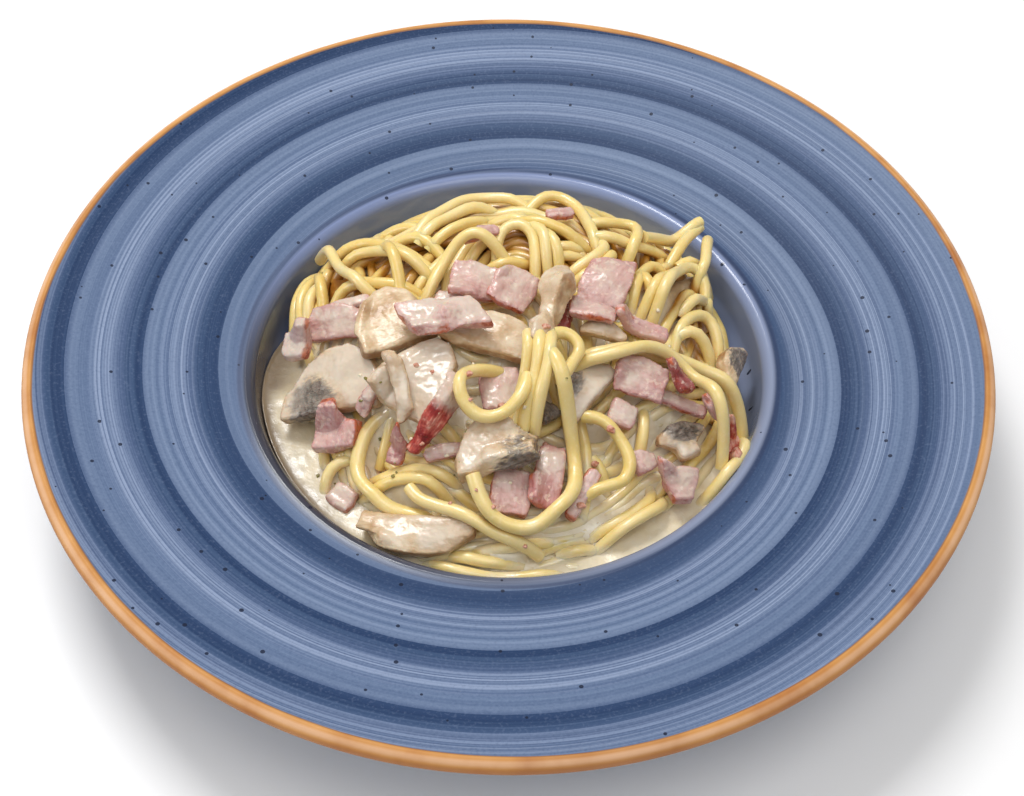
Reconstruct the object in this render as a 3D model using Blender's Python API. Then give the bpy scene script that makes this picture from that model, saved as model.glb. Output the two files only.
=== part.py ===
"""Spaghetti carbonara with ham and mushrooms, served on its wide-rimmed pasta plate.

The plate is turned round the Z axis and stands on its foot ring at z = 0. Its well holds one heap
of spaghetti, a pool of cream sauce beside the heap, and slices of ham, bacon and mushroom that lie
on both. All sizes below are in millimetres and are scaled to metres when a mesh is made.
"""

import math

import bmesh
import bpy
from mathutils import Vector, noise
from mathutils.bvhtree import BVHTree

MM = 0.001
GAP = 0.35                 # clearance kept between touching pieces
SECTORS = 60               # straight sides of everything turned round the plate's axis

# Plate
PLATE_RADIUS = 135.0       # outside of the rolled lip
RIM_RADIUS = 131.7         # where the sloping rim meets the lip
RIM_HEIGHT = 42.0
WELL_RADIUS = 74.0         # where the rim turns down into the well
WELL_EDGE_HEIGHT = 27.0
WELL_FLOOR = 7.5
FLOOR_RADIUS = 54.0        # flat part of the well's floor
WALL_THICKNESS = 5.0
FOOT_OUTER = 58.0
FOOT_INNER = 53.0
BASE_HEIGHT = 3.2          # underside of the well above the table

# Spaghetti heap: its outline's radius every 30 degrees, counted from +X towards +Y
HEAP_RADII = (68, 65, 68, 67, 66, 68, 65, 61, 65, 69, 65, 67)
HEAP_FOOT = 22.0           # height at which the heap leaves the sauce
HEAP_RISE = 26.0
HEAP_RINGS = 13
COIL_CENTRES = ((-34, 26), (14, 34), (42, 14), (-30, -34), (10, -46), (0, 4))
COIL_PITCH = 13.0          # from one bundle of strands to the next
COIL_RELIEF = 1.9
HOLLOW_DEPTH = 2.5         # the slices lie in a shallow hollow of the heap
STRAND_RADIUS = 1.75

# Cream sauce
SAUCE_LEVEL = 20.5
SAUCE_FROM, SAUCE_TO = 138.0, 348.0   # degrees round the plate
SAUCE_RINGS = 4


def material(name, colour, roughness, metallic=0.0):
    made = bpy.data.materials.new(name)
    made.use_nodes = True
    shader = made.node_tree.nodes["Principled BSDF"]
    shader.inputs["Base Color"].default_value = (*colour, 1.0)
    shader.inputs["Roughness"].default_value = roughness
    shader.inputs["Metallic"].default_value = metallic
    return made


def make_object(name, points, faces, finish):
    mesh = bpy.data.meshes.new(name)
    mesh.from_pydata([tuple(c * MM for c in p) for p in points], [], faces)
    bm = bmesh.new()
    bm.from_mesh(mesh)
    bmesh.ops.recalc_face_normals(bm, faces=bm.faces)
    bm.to_mesh(mesh)
    bm.free()
    mesh.shade_smooth()
    mesh.set_sharp_from_angle(angle=math.radians(40))
    mesh.materials.append(finish)
    made = bpy.data.objects.new(name, mesh)
    bpy.context.scene.collection.objects.link(made)
    return made


def arc(centre_r, centre_z, radius, start, end, steps):
    """Points of a fillet in the plate's section, angles in degrees."""
    angles = [math.radians(start + (end - start) * k / steps) for k in range(steps + 1)]
    return [(centre_r + radius * math.cos(a), centre_z + radius * math.sin(a)) for a in angles]


# ---------------------------------------------------------------- plate

def well_section():
    """Upper surface of the plate from the lip inwards to the middle of the floor."""
    rim = [(RIM_RADIUS, RIM_HEIGHT)]
    for k in (0.33, 0.66):
        r = RIM_RADIUS + (WELL_RADIUS + 2 - RIM_RADIUS) * k
        rim.append((r, RIM_HEIGHT + (WELL_EDGE_HEIGHT - RIM_HEIGHT) * k - 0.5 * math.sin(math.pi * k)))
    shoulder = arc(WELL_RADIUS + 2.2, WELL_EDGE_HEIGHT - 3.2, 3.4, 100, 175, 3)
    fillet = arc(FLOOR_RADIUS, WELL_FLOOR + 16, 16, 0, -90, 5)
    stretch = (WELL_RADIUS - 2.2 - FLOOR_RADIUS) / 16
    fillet = [(FLOOR_RADIUS + (r - FLOOR_RADIUS) * stretch, z * 0.75 + WELL_FLOOR * 0.25)
              for r, z in fillet]
    return rim + shoulder + fillet + [(FLOOR_RADIUS / 2, WELL_FLOOR)]


def plate_section():
    """Closed section of the plate, from the middle of its underside round to the middle of its floor."""
    under = [(0, BASE_HEIGHT), (FOOT_INNER - 2, BASE_HEIGHT), (FOOT_INNER, 0), (FOOT_OUTER, 0)]
    under += [(FOOT_OUTER + 2, 2.6), (68, 6.0), (WELL_RADIUS + 0.5, 11.5), (WELL_RADIUS + 3.6, 18.0)]
    under += [(WELL_RADIUS + 6.5, WELL_EDGE_HEIGHT - WALL_THICKNESS + 0.6)]
    under += [(RIM_RADIUS - 2.5, RIM_HEIGHT - WALL_THICKNESS + 0.2)]
    lip = arc(PLATE_RADIUS - 2.7, RIM_HEIGHT - 2.3, 2.7, -60, 95, 5)
    return under + lip + well_section() + [(0, WELL_FLOOR)]


def lathe(name, section, finish):
    """Turns a section that starts and ends on the axis."""
    points = [(0, 0, section[0][1])]
    for r, z in section[1:-1]:
        for j in range(SECTORS):
            a = 2 * math.pi * j / SECTORS
            points.append((r * math.cos(a), r * math.sin(a), z))
    points.append((0, 0, section[-1][1]))
    rings = len(section) - 2
    last = len(points) - 1
    faces = []
    for j in range(SECTORS):
        k = (j + 1) % SECTORS
        faces.append((0, 1 + k, 1 + j))
        for i in range(rings - 1):
            a = 1 + i * SECTORS
            faces.append((a + j, a + k, a + SECTORS + k, a + SECTORS + j))
        a = 1 + (rings - 1) * SECTORS
        faces.append((a + j, a + k, last))
    return make_object(name, points, faces, finish)


def well_height(r):
    """Height of the well's inner surface at radius r."""
    line = sorted((p for p in well_section() if p[0] < WELL_RADIUS - 0.5), key=lambda p: p[0])
    if r <= line[0][0]:
        return WELL_FLOOR
    for (r0, z0), (r1, z1) in zip(line, line[1:]):
        if r <= r1:
            return z0 + (z1 - z0) * (r - r0) / max(r1 - r0, 1e-6)
    return line[-1][1]


def bed_height(r):
    """Lowest height that food may take at radius r, clear of the plate."""
    return well_height(r + GAP) + GAP


# ---------------------------------------------------------------- spaghetti heap

def heap_radius(angle):
    """Outline of the heap: a smooth closed curve through HEAP_RADII."""
    turn = (math.degrees(angle) % 360) / 30
    i = int(turn)
    f = turn - i
    a, b, c, d = (HEAP_RADII[(i + k) % 12] for k in (-1, 0, 1, 2))
    return b + 0.5 * f * (c - a + f * (2 * a - 5 * b + 4 * c - d + f * (3 * (b - c) + d - a)))


def heap_height(x, y):
    """Top of the heap, with furrows where bundles of strands curl round each other."""
    angle = math.atan2(y, x)
    share = min(1.0, math.hypot(x, y) / heap_radius(angle))
    steepness = 3.4 + 1.4 * math.sin(angle)
    dome = HEAP_RISE * (1 - share ** steepness) * (1 + 0.12 * math.sin(angle) * share)
    weights = 0.0
    furrows = 0.0
    for cx, cy in COIL_CENTRES:
        d = math.hypot(x - cx, y - cy)
        w = math.exp(-(d / 20) ** 2)
        weights += w
        furrows += w * math.cos(2 * math.pi * d / COIL_PITCH)
    relief = COIL_RELIEF * furrows / (weights + 0.05) * (1 - share ** 6)
    hollow = HOLLOW_DEPTH * math.exp(-(x / 56) ** 4 - ((y + 20) / 36) ** 4)
    return HEAP_FOOT + dome + relief - hollow


def strand_end(name, path, finish):
    """A cut end of spaghetti that sticks out of the heap, as an eight-sided tube."""
    points = []
    faces = []
    sides = 8
    for i, p in enumerate(path):
        ahead = Vector(path[min(i + 1, len(path) - 1)]) - Vector(path[max(i - 1, 0)])
        turn = ahead.to_track_quat('Z', 'Y')
        for j in range(sides):
            a = 2 * math.pi * j / sides
            rim = Vector((math.cos(a), math.sin(a), 0)) * STRAND_RADIUS
            points.append(Vector(p) + turn @ rim)
    for i in range(len(path) - 1):
        for j in range(sides):
            k = (j + 1) % sides
            faces.append((i * sides + j, i * sides + k, (i + 1) * sides + k, (i + 1) * sides + j))
    faces.append(tuple(range(sides)))
    faces.append(tuple(range((len(path) - 1) * sides, len(path) * sides)))
    return make_object(name, points, faces, finish)


STRAND_ENDS = (
    ((28, 34, 40), (42, 43, 36), (54, 49, 32.5)),
    ((40, 26, 39), (48, 38, 36), (54.5, 48.5, 34)),
    ((52, 18, 32), (56.5, 28, 34.5), (60, 38, 37)),
    ((45, 10, 40), (52, 15, 38.5), (58.5, 19, 35.5)),
    ((-38, 15, 43), (-48, 21, 42), (-57, 27, 38.5)),
)


def build_heap(finish):
    points = [(0, 0, heap_height(0, 0))]
    shares = [(k / HEAP_RINGS) ** 0.85 for k in range(1, HEAP_RINGS + 1)]
    for share in shares:
        for j in range(SECTORS):
            a = 2 * math.pi * j / SECTORS
            r = share * heap_radius(a)
            x, y = r * math.cos(a), r * math.sin(a)
            points.append((x, y, heap_height(x, y)))
    for share in (1.0, 0.92, 0.8):
        for j in range(SECTORS):
            a = 2 * math.pi * j / SECTORS
            r = min(share * heap_radius(a), WELL_RADIUS - 5)
            points.append((r * math.cos(a), r * math.sin(a), bed_height(r)))
    points.append((0, 0, WELL_FLOOR + GAP))
    rings = HEAP_RINGS + 3
    last = len(points) - 1
    faces = []
    for j in range(SECTORS):
        k = (j + 1) % SECTORS
        faces.append((0, 1 + j, 1 + k))
        for i in range(rings - 1):
            a = 1 + i * SECTORS
            faces.append((a + j, a + k, a + SECTORS + k, a + SECTORS + j))
        a = 1 + (rings - 1) * SECTORS
        faces.append((a + j, a + k, last))
    heap = make_object("noodle_heap", points, faces, finish)
    for n, path in enumerate(STRAND_ENDS):
        tube = strand_end(f"strand_end_{n}", path, finish)
        tube.hide_render = True
        tube.display_type = 'WIRE'
        join = heap.modifiers.new(tube.name, 'BOOLEAN')
        join.operation = 'UNION'
        join.solver = 'EXACT'
        join.object = tube
    return heap


# ---------------------------------------------------------------- cream sauce

def sauce_edge():
    """Radius at which the pool meets the wall of the well."""
    r = FLOOR_RADIUS
    while bed_height(r) < SAUCE_LEVEL - 1.2:
        r += 0.05
    return r


def build_sauce(finish):
    outer = sauce_edge()
    points = []
    steps = int((SAUCE_TO - SAUCE_FROM) / (360 / SECTORS))
    for j in range(steps + 1):
        a = math.radians(SAUCE_FROM + (SAUCE_TO - SAUCE_FROM) * j / steps)
        inner = heap_radius(a) + 1.5 * GAP
        fade = min(1.0, j / 5, (steps - j) / 7)
        level = SAUCE_LEVEL - 5.0 * (1 - fade) ** 2 - 0.4
        for i in range(SAUCE_RINGS):
            s = i / (SAUCE_RINGS - 1)
            r = inner + (outer - inner) * s
            low = bed_height(r)
            swell = 0.8 * (1 - s) ** 3 + 0.5 * s ** 4
            points.append((r * math.cos(a), r * math.sin(a), max(level + swell, low + 0.7)))
            points.append((r * math.cos(a), r * math.sin(a), low))
    faces = []
    row = 2 * SAUCE_RINGS
    for j in range(steps):
        a, b = j * row, (j + 1) * row
        for i in range(SAUCE_RINGS - 1):
            faces.append((a + 2 * i, a + 2 * i + 2, b + 2 * i + 2, b + 2 * i))
            faces.append((a + 2 * i + 1, b + 2 * i + 1, b + 2 * i + 3, a + 2 * i + 3))
        faces.append((a, b, b + 1, a + 1))
        end = row - 2
        faces.append((a + end, a + end + 1, b + end + 1, b + end))
    for a in (0, steps * row):
        faces.append([a + 2 * i for i in range(SAUCE_RINGS)] +
                     [a + 2 * i + 1 for i in reversed(range(SAUCE_RINGS))])
    return make_object("cream_sauce", points, faces, finish)


# ---------------------------------------------------------------- ham, bacon and mushrooms

def block(u, v):
    """Outline of a diced or sliced piece of ham."""
    return 0.5 * u * (1 + 0.05 * math.sin(4 * v + 1)), 0.5 * v * (1 + 0.07 * math.sin(3 * u + 2))


def half_cap(u, v):
    """Outline of half a mushroom cap: a straight cut below, a dome above."""
    return 0.5 * u, -0.5 + 0.5 * (v + 1) * math.sqrt(1 - (0.93 * u) ** 2)


def cap_and_stem(u, v):
    """Outline of a slice through a mushroom's middle, stem first."""
    cap = 0.5 * math.sqrt(max(0.12, 1 - ((u - 0.25) / 0.8) ** 2))
    flare = min(1.0, max(0.0, (u + 0.15) / 0.35))
    return 0.5 * u, v * (0.2 + (cap - 0.2) * flare)


def stem_and_bulb(u, v):
    """Outline of a stem that ends in a small closed head."""
    head = 0.5 * math.sqrt(max(0.2, 1 - ((u - 0.62) / 0.4) ** 2))
    flare = min(1.0, max(0.0, (u - 0.1) / 0.3))
    return 0.5 * u, v * (0.3 + (head - 0.3) * flare)


NEAR = 0.9                 # reach round a point of a slice within which it keeps clear
OUTLINES = {"block": block, "half_cap": half_cap, "slice": cap_and_stem, "bulb": stem_and_bulb}


class Table:
    """What has been served so far, for the next piece to lie on."""

    def __init__(self):
        self.served = []

    def add(self, made):
        """Takes in a finished piece as it stands after its modifiers."""
        graph = bpy.context.evaluated_depsgraph_get()
        corners = [v.co.copy() for v in made.data.vertices]
        self.served.append((made.name, BVHTree.FromObject(made, graph), corners))

    def height(self, x, y, beds=(), sink=0.0):
        """Highest surface at a place; a piece may sink that far into its beds."""
        start = Vector((x * MM, y * MM, 0.2))
        best = 0.0
        for name, tree, _ in self.served:
            hit = tree.ray_cast(start, Vector((0, 0, -1)))[0]
            if hit:
                best = max(best, hit.z / MM - (sink if name in beds else 0.0))
        return best


def smooth_grid(values, passes):
    """Evens out a grid of heights, because a slice is stiffer than what it lies on."""
    for _ in range(passes):
        old = [row[:] for row in values]
        for i in range(len(old)):
            for j in range(len(old[0])):
                near = [old[a][b] for a, b in ((i - 1, j), (i + 1, j), (i, j - 1), (i, j + 1))
                        if 0 <= a < len(old) and 0 <= b < len(old[0])]
                values[i][j] = 0.5 * old[i][j] + 0.5 * sum(near) / len(near)
    return values


def highest_near(table, place, beds, sink):
    """Highest surface close to a place, so that nothing pokes in between two points of a slice."""
    steps = (-NEAR, 0.0, NEAR)
    return max(table.height(place.x + dx, place.y + dy, beds, sink) for dx in steps for dy in steps)


def slice_points(table, piece):
    """Top and bottom grids of a slice that follows what is below it."""
    length, width, thick = piece["size"]
    nu, nv = piece.get("cells", (5, 3))
    outline = OUTLINES[piece["cut"]]
    turn = math.radians(piece["yaw"])
    rows = []
    for i in range(nu + 1):
        u = -1 + 2 * i / nu
        row = []
        for j in range(nv + 1):
            v = -1 + 2 * j / nv
            a, b = outline(u, v)
            a = length * (a + piece.get("skew", 0) * b)
            b = width * b * (1 + piece.get("taper", 0) * u) + piece.get("sweep", 0) * (1 - u * u)
            row.append((u, v, a, b))
        rows.append(row)
    px, py = piece["at"]
    plan = [[Vector((px + a * math.cos(turn) - b * math.sin(turn),
                     py + a * math.sin(turn) + b * math.cos(turn), 0)) for u, v, a, b in row]
            for row in rows]
    beds = piece.get("bed", ())
    floor = [[highest_near(table, p, beds, piece.get("sink", 0.0)) for p in row] for row in plan]
    below = smooth_grid([row[:] for row in floor], 3)
    level = sum(map(sum, below)) / ((nu + 1) * (nv + 1))
    drape = piece.get("drape", 0.9)
    pitch = math.tan(math.radians(piece.get("pitch", 0)))
    roll = math.tan(math.radians(piece.get("roll", 0)))
    for i, row in enumerate(rows):
        for j, (u, v, a, b) in enumerate(row):
            own = piece.get("bend", 0) * (1 - u * u) + piece.get("cup", 0) * (1 - v * v)
            own += piece.get("twist", 0) * u * v + pitch * a + roll * b
            rest = max(level + drape * (below[i][j] - level) + own, floor[i][j])
            plan[i][j].z = rest + GAP + 0.5 * thick
    top, bottom = [], []
    for i in range(nu + 1):
        for j in range(nv + 1):
            along = plan[min(i + 1, nu)][j] - plan[max(i - 1, 0)][j]
            across = plan[i][min(j + 1, nv)] - plan[i][max(j - 1, 0)]
            normal = along.cross(across).normalized()
            u, v = rows[i][j][:2]
            half = 0.5 * thick * (1 - 0.22 * max(abs(u), abs(v)) ** 4)
            if piece["cut"] == "bulb":
                half *= 1 + 0.35 * math.exp(-((u - 0.6) / 0.35) ** 2)
            ripple = 0.25 * noise.noise(plan[i][j] * 0.21 + Vector((px, py, 0)))
            top.append(plan[i][j] + normal * (half + ripple))
            bottom.append(plan[i][j] - normal * half)
    return top, bottom, nu, nv


def slice_faces(nu, nv):
    """Quads of a slice: both grids and the strip that joins their edges."""
    row = nv + 1
    shift = (nu + 1) * row
    faces = []
    for i in range(nu):
        for j in range(nv):
            a = i * row + j
            faces.append((a, a + row, a + row + 1, a + 1))
            faces.append((shift + a, shift + a + 1, shift + a + row + 1, shift + a + row))
    edge = [j for j in range(nv)] + [i * row + nv for i in range(nu)]
    edge += [nu * row + j for j in range(nv, 0, -1)] + [i * row for i in range(nu, 0, -1)]
    for a, b in zip(edge, edge[1:] + edge[:1]):
        faces.append((a, b, shift + b, shift + a))
    return faces


SAMPLE_STEPS = (0.0, 0.2, 0.4, 0.6, 0.8, 1.0)


def lift_needed(table, points, faces, beds, sink):
    """How far a slice has to rise to be clear of all that is below it."""
    samples = []
    for face in faces:
        a, b, c, d = (points[k] for k in face)
        for s in SAMPLE_STEPS:
            for t in SAMPLE_STEPS:
                samples.append(a.lerp(b, s).lerp(d.lerp(c, s), t))
    need = max(table.height(p.x, p.y, beds, sink) + GAP - p.z for p in samples)
    tree = BVHTree.FromPolygons([p * MM for p in points], faces)
    for name, _, corners in table.served:
        allowed = sink if name in beds else 0.0
        for corner in corners:
            hit = tree.ray_cast(Vector((corner.x, corner.y, -0.05)), Vector((0, 0, 1)))[0]
            if hit and corner.z > 0.012:
                need = max(need, (corner.z - hit.z) / MM + GAP - allowed)
    return need


def lay(table, piece, finish):
    """Lays one slice on what has been served so far, and takes it in."""
    top, bottom, nu, nv = slice_points(table, piece)
    points = top + bottom
    faces = slice_faces(nu, nv)
    beds = piece.get("bed", ())
    rise = lift_needed(table, points, faces, beds, piece.get("sink", 0.0))
    points = [p + Vector((0, 0, rise)) for p in points]
    made = make_object(piece["name"], points, faces, finish)
    for bed in beds:
        press_in(made, bpy.data.objects[bed])
    table.add(made)


def press_in(piece, bed):
    """Cuts a bed for a sunk piece out of what it lies in, a gap larger than the piece."""
    mesh = piece.data.copy()
    mesh.name = piece.name + "_bed"
    for vertex, normal in zip(mesh.vertices, [v.normal.copy() for v in piece.data.vertices]):
        vertex.co += normal * GAP * 1.4 * MM
    cutter = bpy.data.objects.new(mesh.name, mesh)
    bpy.context.scene.collection.objects.link(cutter)
    cutter.hide_render = True
    cutter.display_type = 'WIRE'
    cut = bed.modifiers.new(cutter.name, 'BOOLEAN')
    cut.operation = 'DIFFERENCE'
    cut.solver = 'EXACT'
    cut.object = cutter


# Every slice in the order in which it is laid, so that each lies on those before it.
TOPPINGS = (
    dict(name="ham_left_strip", cut="block", at=(-48, 6), yaw=4, size=(16.5, 3.5, 2.6), cells=(5, 2),
         roll=25),
    dict(name="ham_left_fold", cut="block", at=(-49, 0), yaw=-12, size=(15.5, 8, 3), bend=1.5, roll=10),
    dict(name="mushroom_left", cut="half_cap", at=(-48, -16), yaw=-8, size=(28.5, 17.5, 5), roll=6,
         bend=1, sink=1.0, bed=("cream_sauce", "noodle_heap")),
    dict(name="ham_left_cube", cut="block", at=(-47, -31), yaw=-12, size=(12, 8, 5), taper=-0.15,
         sink=2.0, bed=("cream_sauce", "noodle_heap"), drape=0.5),
    dict(name="ham_left_sliver", cut="block", at=(-38, -27), yaw=48, size=(6.5, 3.4, 2.6), cells=(4, 2)),
    dict(name="ham_left_block", cut="block", at=(-60, -4), yaw=78, size=(7, 7.5, 4), roll=8, skew=0.2),
    dict(name="mushroom_back_left", cut="half_cap", at=(-33, -3), yaw=20, size=(21, 20, 4.4), bend=1),
    dict(name="ham_grey_back", cut="block", at=(-17, 3), yaw=-20, size=(8, 4, 3), cells=(4, 2)),
    dict(name="mushroom_coated", cut="half_cap", at=(-23, -23), yaw=-30, size=(20, 22, 4.4), cup=1),
    dict(name="mushroom_slim", cut="block", at=(-30, -28), yaw=-72, size=(16, 3.6, 2.8), cells=(5, 2),
         sweep=1.2),
    dict(name="ham_small_left", cut="block", at=(-30, -39.9), yaw=70, size=(4.5, 4.2, 2.6), cells=(3, 2)),
    dict(name="ham_under_front", cut="block", at=(-17, -41), yaw=10, size=(10, 3.5, 3), cells=(4, 2)),
    dict(name="ham_sauce", cut="block", at=(-45, -46), yaw=-38, size=(7.5, 6, 3), cells=(4, 2),
         drape=0.4, sink=1.6, bed=("cream_sauce", "noodle_heap")),
    dict(name="mushroom_sauce", cut="half_cap", at=(-24, -61), yaw=172, size=(31, 10, 5), cup=1.2,
         drape=0.5, sink=1.5, bed=("cream_sauce", "noodle_heap")),
    dict(name="ham_back_left", cut="block", at=(-9, 26), yaw=20, size=(10.5, 3.5, 3), cells=(4, 2)),
    dict(name="ham_back_right", cut="block", at=(14, 36), yaw=15, size=(8, 3.5, 3), cells=(3, 2)),
    dict(name="ham_top_left", cut="block", at=(-10, 8), yaw=-6, size=(13.5, 11.5, 3), bend=-1, roll=8,
         taper=-0.15),
    dict(name="ham_top_right", cut="block", at=(1, 5), yaw=-24, size=(11, 14, 3), bend=1.6, roll=-10),
    dict(name="ham_right_top", cut="block", at=(27, 10), yaw=72, size=(16, 13, 3), bend=1.8, pitch=8,
         skew=-0.2),
    dict(name="ham_dark_fold", cut="block", at=(15, -2), yaw=80, size=(9.5, 4, 3), cells=(4, 2),
         roll=-20),
    dict(name="mushroom_right_inner", cut="half_cap", at=(26, -6), yaw=-10, size=(12.5, 5, 3),
         cells=(4, 2)),
    dict(name="ham_pink_fold", cut="block", at=(23, -3), yaw=-12, size=(12.5, 6.5, 3), cells=(4, 3),
         bend=1.5),
    dict(name="ham_right_grey", cut="block", at=(37, -4), yaw=-8, size=(13.6, 4.5, 3), cells=(5, 2),
         drape=0.8),
    dict(name="ham_ring", cut="block", at=(-2, -25), yaw=10, size=(11, 11.5, 3), bend=1),
    dict(name="mushroom_dark", cut="half_cap", at=(10, -30), yaw=40, size=(5.5, 6.5, 3), cells=(4, 2)),
    dict(name="mushroom_centre_right", cut="half_cap", at=(20, -23), yaw=52, size=(19, 10, 4), bend=1),
    dict(name="ham_right_square", cut="block", at=(31, -29), yaw=70, size=(6.5, 7, 3), cells=(3, 2)),
    dict(name="ham_right_bits", cut="block", at=(47, -22.5), yaw=-10, size=(15, 3.5, 3), cells=(4, 2),
         drape=0.7),
    dict(name="ham_far_right", cut="block", at=(57, -23), yaw=60, size=(6, 6, 3), cells=(3, 2)),
    dict(name="ham_right_large", cut="block", at=(36, -20), yaw=-12, size=(13.5, 10, 3), bend=2.2,
         roll=8),
    dict(name="ham_red_fold", cut="block", at=(47, -20), yaw=-62, size=(8, 4.5, 3), cells=(4, 2),
         roll=-25),
    dict(name="mushroom_right", cut="slice", at=(48, -32.5), yaw=118, size=(9, 15, 4), cells=(6, 3),
         drape=0.35),
    dict(name="ham_right_triangle", cut="block", at=(37, -40), yaw=20, size=(6, 5, 3.6), cells=(3, 2),
         taper=-0.3),
    dict(name="ham_right_wedge", cut="block", at=(47, -44.5), yaw=-80, size=(9, 8.5, 4.5), taper=-0.35,
         cells=(4, 3), drape=0.5),
    dict(name="ham_front_pale", cut="block", at=(1, -52), yaw=84, size=(12, 10, 4), roll=8),
    dict(name="ham_front_pink", cut="block", at=(11, -48), yaw=82, size=(16.5, 7.5, 4.2), bend=1.4,
         roll=-10),
    dict(name="ham_edge_strip", cut="block", at=(20, -51), yaw=62, size=(14.5, 3.5, 4), cells=(4, 2)),
    dict(name="bacon_red", cut="block", at=(-19.5, -35.1), yaw=54, size=(20, 4, 3), cells=(6, 2),
         sweep=-1.6),
    dict(name="bacon_rind", cut="block", at=(62, -29.3), yaw=84, size=(9, 3.4, 2.8), cells=(4, 2),
         sweep=-0.8, drape=0.8),
    dict(name="mushroom_far_right", cut="half_cap", at=(63, -4), yaw=70, size=(15, 5.5, 4.4),
         cells=(4, 2)),
    dict(name="mushroom_front", cut="half_cap", at=(-4, -42), yaw=12, size=(20.5, 15, 6.5), drape=0.6),
    dict(name="mushroom_long", cut="half_cap", at=(-4, -10), yaw=-14, size=(28, 12, 4.4), cells=(7, 3),
         bend=1.4),
    dict(name="ham_centre_slab", cut="block", at=(-18, -10), yaw=4, size=(21.5, 10, 4.6), cells=(6, 3),
         skew=-0.3),
    dict(name="mushroom_stem", cut="bulb", at=(11, -5), yaw=76, size=(28, 8.5, 6), cells=(7, 2),
         drape=0.7),
)

for old in list(bpy.data.objects):
    bpy.data.objects.remove(old, do_unlink=True)

glaze = material("blue_glaze", (0.14, 0.21, 0.36), 0.35)
lathe("plate", plate_section(), glaze)
pasta = material("spaghetti", (0.80, 0.62, 0.24), 0.35)
heap = build_heap(pasta)
cream = material("cream", (0.78, 0.70, 0.56), 0.25)
sauce = build_sauce(cream)
finishes = {
    "ham": material("ham", (0.62, 0.36, 0.33), 0.4),
    "bacon": material("bacon", (0.45, 0.09, 0.06), 0.4),
    "mushroom": material("mushroom", (0.60, 0.48, 0.34), 0.45),
}
served = Table()
served.add(bpy.data.objects["plate"])
served.add(heap)
served.add(sauce)
for piece in TOPPINGS:
    lay(served, piece, finishes[piece["name"].split("_")[0]])
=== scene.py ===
"""Spaghetti carbonara with ham and mushrooms on its blue pasta plate: the looks of the served dish."""

import math
from functools import partialmethod

import bmesh
import bpy
import numpy as np
from mathutils import Matrix, Vector, noise
from mathutils.bvhtree import BVHTree


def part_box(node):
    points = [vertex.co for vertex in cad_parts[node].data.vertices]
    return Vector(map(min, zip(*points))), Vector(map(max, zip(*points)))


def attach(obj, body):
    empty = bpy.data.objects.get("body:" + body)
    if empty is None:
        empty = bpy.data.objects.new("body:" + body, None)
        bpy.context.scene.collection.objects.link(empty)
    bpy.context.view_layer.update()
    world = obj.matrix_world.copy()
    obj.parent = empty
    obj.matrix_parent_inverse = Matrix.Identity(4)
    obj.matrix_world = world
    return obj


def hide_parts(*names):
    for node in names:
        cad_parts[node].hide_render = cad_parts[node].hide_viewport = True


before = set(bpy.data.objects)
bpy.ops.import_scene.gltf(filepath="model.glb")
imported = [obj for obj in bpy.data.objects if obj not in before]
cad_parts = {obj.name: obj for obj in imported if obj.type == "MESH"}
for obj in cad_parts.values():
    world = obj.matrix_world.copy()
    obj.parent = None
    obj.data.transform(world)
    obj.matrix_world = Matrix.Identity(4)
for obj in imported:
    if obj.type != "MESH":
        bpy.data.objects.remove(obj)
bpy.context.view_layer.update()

# ------------------------ where the diner looks from
# The dish is seen from the diner's side, from about 52 degrees above the table, through a long lens.

EDGE_RADIUS = 0.1317  # where the blue glaze stops below the lip
EDGE_HEIGHT = 0.042
LOOK_DOWN = math.radians(51.75)
LOOK_TILT = math.radians(0.93)
AIM_RIGHT, AIM_FRONT = 0.0073, 0.2026  # in plate radii, as the distance is
DISTANCE = 3.288
LENS = 56.25


def put(name, data):
    """Puts a new object with this data into the scene."""
    made = bpy.data.objects.new(name, data)
    bpy.context.scene.collection.objects.link(made)
    return made


back = Vector((0, -math.cos(LOOK_DOWN), math.sin(LOOK_DOWN)))
across = Vector((1, 0, 0))
rise = back.cross(across)
right = math.cos(LOOK_TILT) * across + math.sin(LOOK_TILT) * rise
upward = math.cos(LOOK_TILT) * rise - math.sin(LOOK_TILT) * across
aim = Vector((AIM_RIGHT * EDGE_RADIUS, -AIM_FRONT * EDGE_RADIUS, EDGE_HEIGHT))
lens = bpy.data.cameras.new("diner_view")
lens.lens = LENS
lens.sensor_width = 36
lens.clip_start = 0.01
eye = put("diner_view", lens)
eye.matrix_world = Matrix((right, upward, back)).transposed().to_4x4()
eye.matrix_world.translation = aim + back * DISTANCE * EDGE_RADIUS
bpy.context.scene.camera = eye

# ------------------------ plate
# A wide-rimmed stoneware pasta plate, thrown and turned. Blue glaze was brushed on from the lip
# inwards in one long spiral while the plate spun, and the bare lip shows the terracotta body.


def shade(red, green, blue):
    """A colour given as a painter's 0 to 255 steps, turned into light."""
    steps = [c / 255 for c in (red, green, blue)]
    return (*(s / 12.92 if s <= 0.04045 else ((s + 0.055) / 1.055) ** 2.4 for s in steps), 1.0)


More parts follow.
